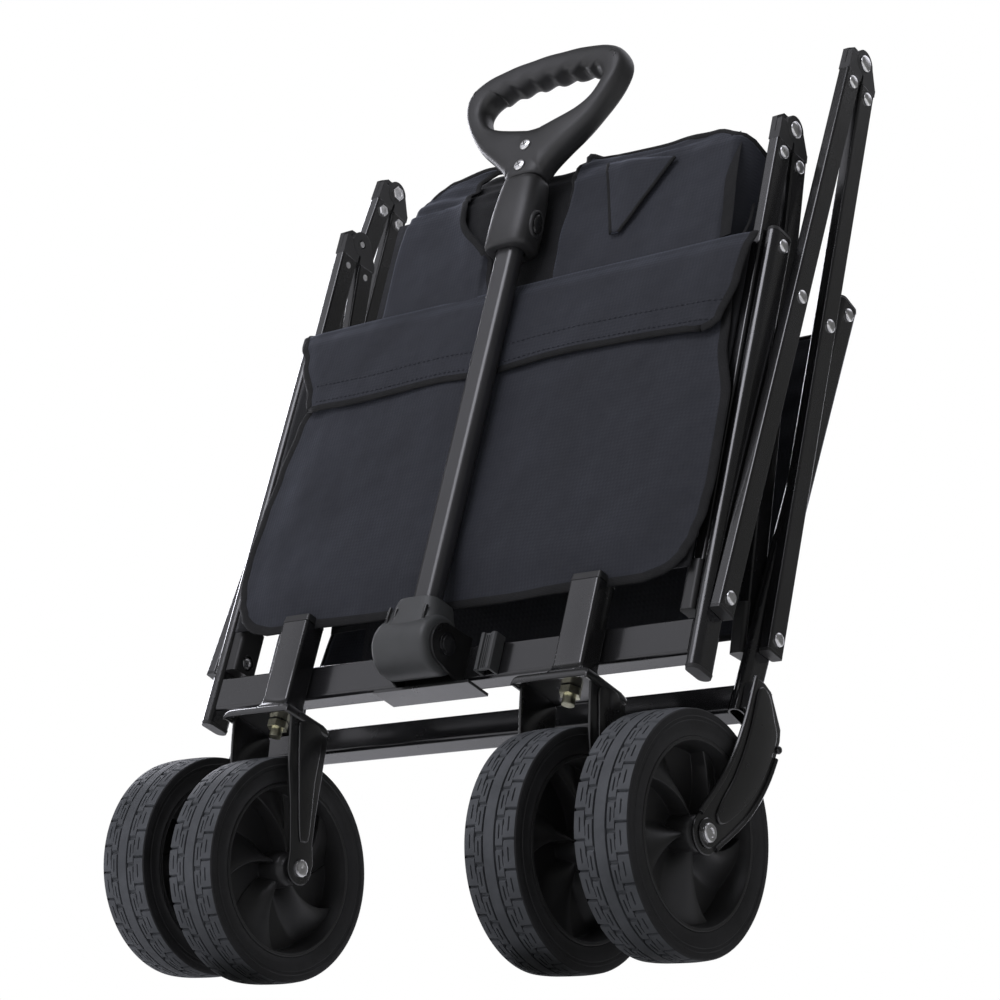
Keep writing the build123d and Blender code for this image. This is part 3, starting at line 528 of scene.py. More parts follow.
def axle(name, rows, body, replaces):
    """Axle bolts: a dimpled round head on a dark washer."""
    mesh = Mesh()
    for inner, outer, point in rows:
        out = 1 if outer > inner else -1
        y, z = point
        washer = [(0, 2), (0, 10.5), (0.7, 10.9), (1.3, 10.2), (1.3, 2)]
        mesh.lathe(washer, (outer, y, z), out, 32, tag=1)
        head = [(1.3, 7.0), (2.6, 7.1), (3.6, 6.5), (4.0, 5.4), (3.9, 3.6), (3.0, 2.9), (2.8, 0.05)]
        mesh.lathe(head, (outer, y, z), out, 32)
        shank = [(0, 0.05), (0, 3.9), (abs(outer - inner), 3.9)]
        mesh.lathe(shank, (inner, y, z), out, 20)
        nut = [(0, 3.9), (0, 7), (-2.0, 7), (-2.6, 6), (-2.6, 3.6), (-1.6, 0.05)]
        mesh.lathe(nut, (inner, y, z), out, 12)
    return mesh.build(name, [zinc_white, pressed_steel], body, replaces, weld=True)


for name, s in SIDES:
    x = s * CASTER_X
    rows = [(x - s * FORK_HALF, x + s * FORK_HALF, CASTER_AXLE)]
    axle(f"caster_axle_bolt_{name}", rows, f"caster_{name}", [f"caster_axle_{name}"])
axle(
    "rear_axle_bolts",
    [(s * (REAR_WHEEL_X - 25.5), s * 263.7, REAR_AXLE) for name, s in SIDES],
    "rear_frame",
    ["rear_axles"],
)


# ---------------------------------------------------------------- wheels
BLOCKS = 26
BLOCK_COLUMNS = 16
COLUMNS = BLOCKS * BLOCK_COLUMNS


def tread_depth(x, phase):
    """How deep the tread is cut at x mm from the middle and at that fraction of a block."""
    ax = abs(x)
    side = 1 if x > 0 else -1
    if 4.6 < ax < 6.2:
        return 2.4
    if ax <= 4.6:
        return 0.0
    outer = ax > 12.5
    p = (phase + (0.5 if side > 0 else 0.0) + (0.31 if outer else 0.0)) % 1.0
    if outer and ax < 22.4 and p < 0.1:
        return 2.0
    if not outer and p < 0.1:
        return 1.8
    if 12.0 < ax < 13.2:
        return 1.9 if 0.1 < p < 0.62 else 0.0
    if 8.6 < ax < 9.7 and 0.3 < p < 0.75:
        return 1.4
    if 16.6 < ax < 17.7 and 0.35 < p < 0.8:
        return 1.3
    return 0.0


TREAD_EDGE = 22.2
TREAD_XS = [0, 4.5, 4.7, 6.1, 6.3, 8.5, 8.7, 9.6, 9.8, 11.9, 12.1, 12.45, 12.6, 13.1, 13.3]
TREAD_XS += [16.5, 16.7, 17.6, 17.8, 20.0, TREAD_EDGE]


def make_tyre(name, x, axle_at, body, node):
    y, z = axle_at
    xs = sorted({-v for v in TREAD_XS} | set(TREAD_XS))
    mesh = Mesh()
    rows = []
    for c in range(COLUMNS):
        a = 2 * pi * c / COLUMNS
        phase = (c % BLOCK_COLUMNS) / BLOCK_COLUMNS
        row = []
        for tx in xs:
            crown = WHEEL_R - 1.1 * (abs(tx) / 22.0) ** 3 - tread_depth(tx, phase)
            row.append(at(x + tx, y + crown * cos(a), z + crown * sin(a)))
        rows.append(row)
    mesh.rows(rows, wrap_rows=True, tag=0)
    edge = WHEEL_R - 1.1 * (TREAD_EDGE / 22.0) ** 3
    for out in (-1, 1):
        drops = [(TREAD_EDGE, 0), (23.0, 0.8), (23.5, 2.6), (23.5, 5.2), (22.9, 6.0), (22.9, 8.2)]
        drops += [(23.3, 8.8), (23.4, 13), (22.8, 16.5)]
        wall = [(d, edge - drop) for d, drop in drops] + [(21.6, RIM_R + 0.3), (20.0, RIM_R + 0.1)]
        mesh.lathe(wall, (x, y, z), out, 128, tag=1)
    bed = [(-20.0, RIM_R + 0.1), (20.0, RIM_R + 0.1)]
    mesh.lathe(bed, (x, y, z), 1, 128, tag=1)
    return mesh.build(name, [tread_rubber, wall_rubber], body, [node], angle=28)


BLADES = 5
WEB_HALF = 1.5


def make_rim(name, x, axle_at, body, node, turn):
    """A moulded wheel: stepped rim, small hub, a middle web and swept blades that widen outwards."""
    y, z = axle_at
    mesh = Mesh()
    ring = [(21.8, RIM_R), (22.2, 68.2), (21.8, 66.4), (19.0, 65.6), (16.0, 64.4), (6.0, 63.2), (-6.0, 63.2)]
    ring += [(-16.0, 64.4), (-19.0, 65.6), (-21.8, 66.4), (-22.2, 68.2), (-21.8, RIM_R), (0.0, RIM_R)]
    mesh.lathe(ring, (x, y, z), 1, 96, closed=True)
    hub = [(25.0, 4.1), (25.0, 8.0), (24.4, 10.2), (22.0, 11.0), (21.0, 12.6), (19.0, 13.6), (8.0, 14.8)]
    hub += [(-d, r) for d, r in reversed(hub)]
    mesh.lathe(hub, (x, y, z), 1, 48, closed=True)
    web = [(-WEB_HALF, 14.0), (WEB_HALF, 14.0), (WEB_HALF, 63.6), (-WEB_HALF, 63.6)]
    mesh.lathe(web, (x, y, z), 1, 96, closed=True)
    for out in (-1, 1):
        for b in range(BLADES):
            base = 2 * pi * (b + turn) / BLADES
            rows = []
            for i in range(15):
                t = i / 14
                r = mix(12.8, 63.8, t)
                centre = base + radians(26) * t
                half = radians(mix(16, 20.5, t))
                crest = mix(17.5, 13.5, smooth(t))
                row = []
                for j in range(13):
                    u = j / 12
                    a = centre + half * (2 * u - 1)
                    d = mix(WEB_HALF - 0.5, crest, smooth(min(u * 1.06, 1.0)) ** 0.85)
                    row.append(at(x + out * d, y + r * cos(a), z + r * sin(a)))
                for d in (crest - 0.6, 0.5):
                    a = centre + half * 1.03
                    row.append(at(x + out * d, y + r * cos(a), z + r * sin(a)))
                rows.append(row)
            mesh.rows(rows, flip=out < 0)
    return mesh.build(name, [rim_plastic], body, [node], angle=40)


WHEELS = (("front", CASTER_X, CASTER_AXLE, 0.25), ("rear", REAR_WHEEL_X, REAR_AXLE, 0.62))
for name, s in SIDES:
    for place, x, axle_at, turn in WHEELS:
        body = f"wheel_{place}_{name}"
        make_tyre(f"{place}_tyre_{name}", s * x, axle_at, body, f"tyre_{place}_{name}")
        make_rim(f"{place}_rim_{name}", s * x, axle_at, body, f"wheel_rim_{place}_{name}", turn)

# ---------------------------------------------------------------- caster forks and stems
CROWN = 209.5
BACK = CASTER_STEM_Y - 13
AXLE_Y, AXLE_Z = CASTER_AXLE


def arc_points(cy, cz, radius, start, stop, count):
    turns = [radians(mix(start, stop, k / count)) for k in range(count + 1)]
    return [(cy + radius * cos(a), cz + radius * sin(a)) for a in turns]


cheek = [(BACK - 7, CROWN - 4), (BACK - 5, CROWN - 1), (BACK + 32, CROWN - 1), (BACK + 38, CROWN - 5)]
cheek += [(BACK + 41, CROWN - 20), (BACK + 44, CROWN - 46), (BACK + 47, CROWN - 72), (BACK + 51, CROWN - 96)]
cheek += [(AXLE_Y + 13.5, AXLE_Z + 8)]
cheek += arc_points(AXLE_Y, AXLE_Z, 13.5, 15, -165, 12)
cheek += [(AXLE_Y - 15, AXLE_Z + 10), (BACK + 17, CROWN - 76), (BACK + 5, CROWN - 48), (BACK - 2, CROWN - 24)]
channel = [(BACK + 5, CROWN - 8), (BACK + 30, CROWN - 8), (BACK + 36, CROWN - 50), (BACK + 44, CROWN - 92)]
channel += [(BACK + 40, CROWN - 99), (BACK + 34, CROWN - 96), (BACK + 20, CROWN - 60), (BACK + 8, CROWN - 26)]
channel = catmull(channel, 4, closed=True)

CROWN_ACROSS = [(-35.0, 9.0), (-34.8, 4.0), (-33.2, 1.0), (-30, 0.0), (-20, 0.0)]
CROWN_ACROSS += [(0, 0.0)] + [(-d, drop) for d, drop in reversed(CROWN_ACROSS)]
CROWN_ALONG = [(-27, 8.0), (-26.6, 4.0), (-25, 1.2), (-22, 0.0), (-10, 0.0), (0, 0.0)]
CROWN_ALONG += [(12, 0.0), (23, 0.4), (25, 3.0)]
for name, s in SIDES:
    x = s * CASTER_X
    body = f"caster_{name}"
    for hand in (-1, 1):
        bm = plate(x + hand * FORK_HALF, cheek, hand)
        side = "out" if hand == s else "in"
        piece = [f"caster_fork_{name}"] if hand == 1 else []
        sheet_metal(f"fork_cheek_{name}_{side}", bm, 2.5, pressed_steel, body, piece, 0.9)
        bm = plate(x + hand * 35.0, channel, hand)
        sheet_metal(f"fork_channel_{name}_{side}", bm, 2.2, pressed_steel, body, [], 1.4)
    mesh = Mesh()
    rows = []
    for d, drop in CROWN_ACROSS:
        row = []
        for yy, fall in CROWN_ALONG:
            row.append(at(x + d, CASTER_STEM_Y - 1 + yy, CROWN - max(drop, fall) - 0.15 * min(drop, fall)))
        rows.append(row)
    mesh.rows(rows)
    crown = mesh.build(f"fork_crown_{name}", [pressed_steel], None, (), angle=180, subsurf=1)
    thick = crown.modifiers.new("sheet", "SOLIDIFY")
    thick.thickness = 2.4 * MM
    thick.offset = -1
    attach(crown, body)

STEM = [(209.8, 15.6, 15.6), (212, 17.0, 15.8), (215, 17.2, 15.4), (217, 16.2, 13.6), (219, 14.6, 11.8)]
STEM += [(z, 14.0, 11.0) for z in (224, 250, 292.6)]
mesh = Mesh()
for name, s in SIDES:
    rows = []
    for z, half_x, half_y in STEM:
        round_ = 3.0 if z > 218 else mix(11.0, 4.0, (z - 209.8) / 9)
        row = []
        for k in range(32):
            a = 2 * pi * (k + 0.5) / 32
            cx, cy = cos(a), sin(a)
            corner_x = (1 if cx > 0 else -1) * (half_x - round_) + round_ * cx
            corner_y = (1 if cy > 0 else -1) * (half_y - round_) + round_ * cy
            row.append(at(s * CASTER_X + corner_x, CASTER_STEM_Y + corner_y, z))
        rows.append(row)
    mesh.rows(rows, wrap_cols=True, caps=True)
mesh.build("stems", [black_steel], "front_frame", ["caster_stems"], angle=40)

# ---------------------------------------------------------------- rear arms
arm = [(46, 236), (58, 236.5), (68, 234), (78, 223), (88, 212), (89.5, 203), (87.5, 188), (83, 170)]
arm += [(75, 150), (64, 131), (51, 114.5), (38, 100)]
arm += arc_points(REAR_AXLE[0], REAR_AXLE[1], 16, -30, -196, 12)
arm += [(11, 118), (22, 137), (31, 156), (38, 178), (42.5, 200), (44.5, 218)]
arm_channel = [(51, 229), (64, 229), (76, 213), (82, 203), (80, 186), (74, 166), (64, 146), (50, 128), (38, 116)]
arm_channel += [(30, 113), (26, 119), (30, 132), (38, 150), (45, 174), (49, 200)]
arm_channel = catmull(arm_channel, 4, closed=True)
for name, s in SIDES:
    bm = plate(s * 263.2, arm, s)
    piece = ["rear_arms"] if s == 1 else []
    sheet_metal(f"rear_arm_{name}", bm, 2.6, pressed_steel, "rear_frame", piece, 1.0)
    bm = plate(s * 265.4, arm_channel, s)
    sheet_metal(f"rear_arm_channel_{name}", bm, 2.6, pressed_steel, "rear_frame", [], 1.6)
    mesh = Mesh()
    for route in (arm[6:12] + [(33, 94)], [(8, 112)] + arm[-6:] + [(46, 236)]):
        path = [at(s * 263.0, y, z) for y, z in catmull(route, 3)]
        mesh.tube(path, 4.4 * MM, 4.4 * MM, (1, 0, 0), 10)
    knob = [(0, 0.05), (0, 3.0), (3, 3.2), (4.2, 2.4), (4.6, 0.05)]
    mesh.lathe(knob, (s * 261.0, 88.5, 196), s, 16)
    block = [[at(s * (251.1 + d), 61 + 11 * cy, 224 + 10 * cz) for cy, cz in SQUARE] for d in (0.0, 10.2)]
    mesh.rows(block, wrap_cols=True, caps=True)
    spacer = [(0, 4.2), (0, 8.5), (-0.8, 9.0), (-2.0, 9.0), (-2.2, 4.2)]
    mesh.lathe(spacer, (s * 262.9, REAR_AXLE[0], REAR_AXLE[1]), s, 24)
    mesh.build(f"rear_arm_edge_{name}", [pressed_steel], "rear_frame", ())

# ---------------------------------------------------------------- handle
def superellipse(cx, cy, z, half_x, half_y, power, count=40):
    row = []
    for k in range(count):
        a = 2 * pi * k / count
        c, s = cos(a), sin(a)
        px = abs(c) ** (2 / power) * (1 if c > 0 else -1)
        py = abs(s) ** (2 / power) * (1 if s > 0 else -1)
        row.append(at(cx + half_x * px, cy + half_y * py, z))
    return row


mesh = Mesh()
profile = [(-27.4, 5.2), (-27.4, 19.5), (-26.2, 22.4), (-24.0, 23.8), (-21, 24.0)]
profile += [(-d, r) for d, r in reversed(profile)]
mesh.lathe(profile, (0, HANDLE_Y, HANDLE_PIVOT_Z), 1, 72, closed=True)
HOUSING = [(250, 27.0, 22.0, 3.6), (262, 26.6, 20.6, 3.6), (270, 25.0, 19.0, 3.6), (277, 22.4, 17.6, 3.6)]
HOUSING += [(283, 20.8, 16.8, 3.6), (285.2, 20.0, 16.2, 3.6), (286.0, 17.6, 14.0, 3.2), (286.0, 12.4, 8.9, 3.0)]
HOUSING += [(280.0, 12.1, 8.6, 3.0)]
rows = [superellipse(0, HANDLE_Y, *ring) for ring in HOUSING]
mesh.rows(rows, wrap_cols=True)
# The slots are dark strands laid on the housing: painted shade standing in for their openings.
for rx, tall in ((-19.5, 17.0), (-12.5, 13.0), (17.5, 14.0)):
    slot_path = [at(rx, HANDLE_Y - 18.6 + 0.11 * abs(t), 268 + t) for t in (-tall / 2, -2, 2, tall / 2)]
    mesh.tube(slot_path, 3.0 * MM, 3.0 * MM, (0, 1, 0), 10, tag=1)
mats = [handle_plastic, button_plastic]
mesh.build("handle_housing", mats, "handle_lower", ["pivot_housing"], angle=50)

SLEEVE = [(618.0, 13.0, 9.4, 2.6), (618.0, 19.4, 13.6, 3.4), (619.2, 21.2, 15.6, 3.4), (622.0, 22.0, 16.5, 3.4)]
SLEEVE += [(636.0, 22.2, 16.6, 3.4), (655.0, 21.9, 16.3, 3.4), (672.0, 20.8, 15.6, 3.2), (684.0, 19.6, 14.8, 3.0)]
SLEEVE += [(688.5, 18.8, 14.0, 3.0), (690.0, 16.8, 12.4, 3.0), (690.0, 10.8, 7.3, 2.8)]
mesh = Mesh()
rows = [superellipse(0, HANDLE_Y, *ring, 48) for ring in SLEEVE]
mesh.rows(rows, wrap_cols=True)


BUTTON_Z = 642


def pill(x, half_y, half_z, count=28):
    """A round-ended ring about the button's axis, at x."""
    row = []
    for k in range(count):
        a = 2 * pi * k / count
        c, s = cos(a), sin(a)
        row.append(at(x, HANDLE_Y + half_y * c, BUTTON_Z + half_z * (abs(s) ** 0.8) * (1 if s > 0 else -1)))
    return row


WINDOW = ((21.0, 9.0, 13.6), (23.2, 8.4, 13.0), (23.8, 7.4, 12.0), (23.6, 6.0, 10.6), (21.6, 5.8, 10.3))
mesh.rows([pill(*ring) for ring in WINDOW], wrap_cols=True)
mesh.build("sleeve", [grip_plastic], "handle_lower", ["lock_sleeve"], angle=45)

mesh = Mesh()
BUTTON = ((19.0, 5.1, 9.5), (22.6, 5.1, 9.5), (23.9, 4.7, 9.0), (24.5, 3.6, 7.6), (24.7, 1.8, 4.5))
mesh.rows([pill(*ring) for ring in BUTTON], wrap_cols=True, caps=True)
mesh.build("button", [button_plastic], "lock_button", ["lock_button"], angle=60)

outline = [(19, 690.6), (24, 700), (37, 714), (60, 736), (78, 764), (85.4, 785), (83.5, 800), (72, 811)]
outline += [(45, 818.5), (0, 821.6)]
outline += [(-x, z) for x, z in reversed(outline[:-1])]
hole = [(0, 744), (30, 749.5), (52, 758.5), (62, 772), (63, 783), (54, 792), (30, 796.5), (0, 797.5)]
hole = hole + [(-x, z) for x, z in reversed(hole[1:-1])]
HOLE_MIDDLE = 771
GRIP_STEPS = 160


def resample(points, count, closed):
    """Evenly spaced points along a polyline."""
    pts = list(points) + ([points[0]] if closed else [])
    lengths = [0.0]
    for a, b in zip(pts, pts[1:]):
        lengths.append(lengths[-1] + hypot(b[0] - a[0], b[1] - a[1]))
    out = []
    k = 0
    for i in range(count):
        d = lengths[-1] * i / (count if closed else count - 1)
        while k < len(lengths) - 2 and lengths[k + 1] < d:
            k += 1
        t = (d - lengths[k]) / (lengths[k + 1] - lengths[k])
        out.append((mix(pts[k][0], pts[k + 1][0], t), mix(pts[k][1], pts[k + 1][1], t)))
    return out


outer_loop = resample(catmull(outline, 8) + [(0.0, 690.5)], GRIP_STEPS, True)
bottom = min(range(GRIP_STEPS), key=lambda i: outer_loop[i][1] + abs(outer_loop[i][0]))
outer_loop = outer_loop[bottom:] + outer_loop[:bottom]
hole_loop = catmull(hole, 20, closed=True)


def hole_at(point):
    """Where the opening's edge meets a ray from its middle to an outer point."""
    target = atan2(point[0], point[1] - HOLE_MIDDLE)
    return min(hole_loop, key=lambda q: abs((atan2(q[0], q[1] - HOLE_MIDDLE) - target + pi) % (2 * pi) - pi))


mesh = Mesh()
rows = []
SECTION = 20
for px, pz in outer_loop:
    hx, hz = hole_at((px, pz))
    if pz > 780 and abs(hx) < 50 and hz > 780:
        hz += 1.9 * cos(2 * pi * hx / 19.0) - 1.0
    deep = table([(690, 13.0), (715, 13.0), (745, 11.5), (775, 12.2), (800, 13.0), (822, 13.0)], pz)
    row = []
    for k in range(SECTION):
        a = 2 * pi * k / SECTION
        c, s = cos(a), sin(a)
        across = abs(c) ** 0.75 * (1 if c > 0 else -1)
        depth = abs(s) ** 0.6 * (1 if s > 0 else -1)
        u = (1 + across) / 2
        row.append(at(mix(hx, px, u), HANDLE_Y + deep * depth, mix(hz, pz, u)))
    rows.append(row)
mesh.rows(rows, wrap_rows=True, wrap_cols=True)
COLLAR = ((690.6, 10.4, 7.0), (690.6, 18.4, 12.4), (692.5, 19.6, 13.0), (700, 21.5, 13.0), (708, 22, 12.0))
mesh.rows([superellipse(0, HANDLE_Y, *ring, 3.0) for ring in COLLAR], wrap_cols=True)
mesh.build("grip", [grip_plastic], "handle_upper", ["hand_grip"], angle=180, subsurf=1)


def face_ring(x, y, z, radius, count):
    """A circle that faces the front."""
    turns = [2 * pi * k / count for k in range(count)]
    return [at(x + radius * cos(a), y, z + radius * sin(a)) for a in turns]


def face_screw(mesh, x, z, radius):
    """A pan screw on the grip's front; its crossed recess is drawn as raised dark strands, painted shade standing
    in for the cut.
    """
    front = HANDLE_Y - 13.2
    profile = ((0.4, radius), (-0.8, radius), (-1.5, radius * 0.8), (-1.8, radius * 0.5))
    mesh.rows([face_ring(x, front + d, z, r, 24) for d, r in profile], wrap_cols=True, caps=True)
    # The cross is painted shade: dark strands laid on the head instead of a cut recess.
    for turn in (0.4, 0.4 + pi / 2):
        dx, dz = cos(turn) * radius * 0.55, sin(turn) * radius * 0.55
        path = [at(x + dx * t, front - 1.75, z + dz * t) for t in (-1, -0.3, 0.3, 1)]
        mesh.tube(path, 1.1 * MM, 0.5 * MM, (0, 1, 0), 6, tag=1)


mesh = Mesh()
for x, z in ((-1, 700.5), (0, 721.5)):
    face_screw(mesh, x, z, 5.2)
mesh.build("screws", [zinc_white, button_plastic], "handle_upper", ["grip_screws"])
mesh = Mesh()
for x, z in ((-73, 797.0), (73, 797.0)):
    profile = ((0.1, 4.6), (-0.7, 4.6), (-0.9, 4.0), (0.1, 3.2), (0.3, 0.8))
    rows = [face_ring(x, HANDLE_Y - 11.8 + d, z, r, 20) for d, r in profile]
    mesh.rows(rows, wrap_cols=True, caps=True)
mesh.build("grip_side_screws", [button_plastic], "handle_upper")

mesh = Mesh()
CLIP_X = 56.0
wall = [(-8, 0), (-8, -10.5), (-6.5, -12), (-3.6, -12), (-3.2, -10)]
wall += [(-x, y) for x, y in reversed(wall)]
inner = [(5.6, 0), (5.6, -9), (3.2, -8), (-3.2, -8), (-5.6, -9), (-5.6, 0)]
loop = wall + inner
rows = [[at(CLIP_X + x, -10.3 + y, z) for x, y in loop] for z in (232.2, 233, 263, 263.8)]
mesh.rows(rows, wrap_cols=True, caps=True)
for k in (-1, 0, 1):
    path = [at(CLIP_X + k * 1.9, -20.6, z) for z in (234, 248, 262)]
    mesh.tube(path, 1.0 * MM, 1.6 * MM, (0, 1, 0), 6)
mesh.build("clip", [handle_plastic], "front_frame", ["parking_clip"], bevel=0.4)

# ---------------------------------------------------------------- fabric
def soft_sheet(name, point, nx, nz, thickness, mat, body, replaces=(), subsurf=0):
    """A cloth sheet over a grid of (u, v) with real thickness."""
    mesh = Mesh()
    mesh.rows([[point(i / nx, j / nz) for i in range(nx + 1)] for j in range(nz + 1)])
    obj = mesh.build(name, [mat], None, (), angle=180)
    t = obj.modifiers.new("cloth", "SOLIDIFY")
    t.thickness = thickness * MM
    t.offset = 0
    if subsurf:
        s = obj.modifiers.new("subdivision", "SUBSURF")
        s.levels = subsurf
        s.render_levels = subsurf
    if body:
        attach(obj, body)
    if replaces:
        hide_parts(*replaces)
    return obj


def flow(x, z, scale, seed):
    """Smooth folds, roughly -1 to 1."""
    return noise.noise(Vector((x / scale, seed, z / scale))) * 1.6


def creases(x, z, seed):
    """Layered wrinkles for slack cloth."""
    slant = flow(x + z * 0.5, z - x * 0.3, 42, seed + 3)
    return flow(x, z, 95, seed) * 0.6 + slant * 0.3 + flow(x, z, 19, seed + 7) * 0.12


WALL_HALF = 232


def edge_points(point, count, u=None, v=None):
    """Points along a sheet: along v at a fixed u, or along u at a fixed v."""
    steps = [k / count for k in range(count + 1)]
    return [point(t, v) for t in steps] if u is None else [point(u, t) for t in steps]


def panel_point(u, v):
    x = mix(-WALL_HALF, WALL_HALF, u)
    z = mix(300, 592, v)
    return at(x, -16.8 + 1.2 * creases(x, z, 2.0), z)


# The front wall takes the near-black cloth: painted shade for the shade it lies in around the pocket.
panel = soft_sheet(
    "front_wall", panel_point, 90, 60, 2.0, shade_dark_cloth, "front_frame", ["front_panel"]
)


POCKET_LOW = 294
POCKET_HIGH = 560
LEFT_SEAM = [(294, -188), (296, -201), (301, -211), (310, -220), (324, -227), (345, -232), (370, -233)]
LEFT_SEAM += [(410, -229), (447, -223), (495, -215), (523, -204), (560, -212)]
RIGHT_SEAM = [(294, 194), (296, 208), (301, 218), (310, 226), (324, 232), (345, 237), (370, 239)]
RIGHT_SEAM += [(439, 238), (496, 226), (560, 220)]


def pocket_inset(x, z):
    """Distance from the nearer side seam."""
    return min(x - table(LEFT_SEAM, z), table(RIGHT_SEAM, z) - x)


def pocket_y(x, z):
    """The pocket's face: full in the middle, tight at its seams, with slow wrinkles."""
    inset = pocket_inset(x, z)
    full = smooth(inset / 46) * smooth((z - POCKET_LOW + 3) / 42)
    sag = 1.9 * creases(x, z, 5.0) * (0.35 + 0.65 * full)
    ripple = sin((x * 0.5 + z) / 26.0 + 1.4 * flow(x, z, 80, 9.0))
    return -20.4 - 4.9 * full - 0.9 * sag - 1.4 * ripple * smooth((410 - z) / 70) * smooth(inset / 60)


def pocket_point(u, v):
    z = mix(POCKET_LOW, POCKET_HIGH, v)
    x = mix(table(LEFT_SEAM, z), table(RIGHT_SEAM, z), u)
    return at(x, max(pocket_y(x, z), -28.2), z)


pocket = soft_sheet(
    "pocket", pocket_point, 110, 70, 1.6, panel_cloth, "front_frame", ["front_pocket"]
)


FLAP_LEFT = [(508, -203), (520, -207), (560, -224), (594, -238)]
FLAP_RIGHT = [(508, 208), (514, 221), (550, 231), (594, 236)]
FLAP_HIGH = 594


def flap_low(x):
    """Height of the flap's lower edge."""
    return 510 + 4.5 * sin(x / 60.0 + 0.6) * smooth(abs(x) / 190) - 3 * smooth(1 - abs(x) / 60)


def flap_point(u, v):
    """The flap hangs from a fold at its top and stands a little off the pocket at its lower edge."""
    z_mid = mix(508, FLAP_HIGH, v)
    left, right = table(FLAP_LEFT, z_mid), table(FLAP_RIGHT, z_mid)
    x = mix(left, right, u)
    z = mix(flap_low(x), FLAP_HIGH, v)
    lift = 1.6 * (1 - v) ** 2 + 1.0 * flow(x, z, 60, 11.0) * (1 - v)
    roll = 5.0 * smooth((v - 0.8) / 0.2)
    side = smooth(min(x - left, right - x) / 16)
    return at(x, max(-25.2 - 1.7 * side - lift - 0.7 * creases(x, z, 13.0) + roll, -29.2), z)


flap = soft_sheet("pocket_flap", flap_point, 110, 34, 1.8, panel_cloth, "front_frame")


def edging(name, paths, body, width=5.0, height=2.6):
    """Binding tape along fabric edges."""
    mesh = Mesh()
    for path in paths:
        mesh.tube(path, width * MM, height * MM, (0, 1, 0), 10)
    return mesh.build(name, [binding_cloth], body, (), angle=180)


STEPS = 70
sides = [edge_points(pocket_point, STEPS, u=u) for u in (0.0, 1.0)]
pocket_loop = list(reversed(sides[0])) + edge_points(pocket_point, STEPS, v=0.0)[1:-1] + sides[1]
edging("pocket_binding", [pocket_loop], "front_frame", 9.5, 3.0)
edging("flap_binding", [edge_points(flap_point, STEPS, v=0.0)], "front_frame", 6.5, 3.4)
flap_sides = [edge_points(flap_point, 24, u=u) for u in (0.0, 1.0)]
edging("flap_side_binding", flap_sides, "front_frame", 9.0, 3.0)


def stitches(name, path, body, length=3.0, gap=1.6, size=0.55, shift=(0, -1.2, 0)):
    """Short thread stitches along a path."""
    mesh = Mesh()
    run = 0.0
    for a, b in zip(path, path[1:]):
        span = (b - a).length / MM
        run += span
        if run > length + gap:
            run = 0.0
            off = Vector(shift) * MM
            tip = a + (b - a).normalized() * length * MM
            middle = (a + tip) / 2 + off * 0.25
            mesh.tube([a + off, middle + off, tip + off], size * MM, size * MM, (0, 1, 0), 6)
    return mesh.build(name, [thread], body, (), angle=180)


DENSE = 420
for name, v in (("flap_stitching", 0.27), ("flap_edge_stitching", 0.07)):
    stitches(name, [flap_point(0.01 + 0.98 * k / DENSE, v) for k in range(DENSE + 1)], "front_frame")


# the slack cloth between the frames, gathered above the flap
CREST = [(-168, 700), (-160, 704), (-150, 730), (-132, 755), (-96, 764), (-60, 758), (-17, 744), (25, 740)]
CREST += [(55, 727), (82, 719), (132, 718), (175, 713), (205, 700), (221, 684)]
WALL_LEFT = -168
WALL_RIGHT = 221
WALL_FOOT = 575
WALL_MIDDLE_Y = 24.0
LAYER_FOOT = 586


def crest(x):
    """Height of the gathered cloth's top."""
    return table(CREST, x)


FRONT_FALL = [(575, -17.6), (620, -18.6), (690, -17.4), (712, -9), (735, 6), (755, 14), (775, 20)]
BACK_FALL = [(575, 62), (620, 57), (680, 48), (730, 38), (775, 28)]


def gather_y(x, z, front):
    """Where the gathered cloth lies at x, z, on its front or its back."""
    y = table(FRONT_FALL if front else BACK_FALL, z)
    depth = 5.0 * creases(x, z, 21.0 if front else 31.0)
    drape = 2.6 * sin(x / 21.0 + 2.4 * flow(x, z, 70, 4.0) + (z - 600) / 48)
    loose = smooth((z - 590) / 40) if front else 1.0
    y += (depth * 0.75 + drape * 0.7) * loose * (0.5 if front and z < 700 else 1.0)
    if front:
        wide = 26 if z < 696 else 92
        guard = mix(-27.0, -20.6 if z < 696 else -23.5, smooth((wide + 16 - abs(x)) / 16))
        y = min(max(y, guard), table([(575, -16.4), (690, -15.9), (703, -14), (712, 4), (730, 24)], z))
    edge = smooth(min(x - WALL_LEFT, WALL_RIGHT - x) / 22)
    return mix(WALL_MIDDLE_Y, y, edge**0.5)


def gather_point(u, v):
    """An upturned U across the wagon: up the front, over the crest and down the back."""
    x = mix(WALL_LEFT, WALL_RIGHT, u)
    top = crest(x)
    t = abs(2 * v - 1)
    z = mix(top, WALL_FOOT, t**1.15)
    over = smooth(t * 5)
    y = mix(WALL_MIDDLE_Y, gather_y(x, z, v < 0.5), over)
    return at(x, y, z)


# The gathered cloth takes the near-black cloth: painted shade inside the gather.
gather = soft_sheet(
    "gathered_wall", gather_point, 130, 72, 1.6, shade_dark_cloth, None, ["folded_fabric_front"]
)
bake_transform(gather)


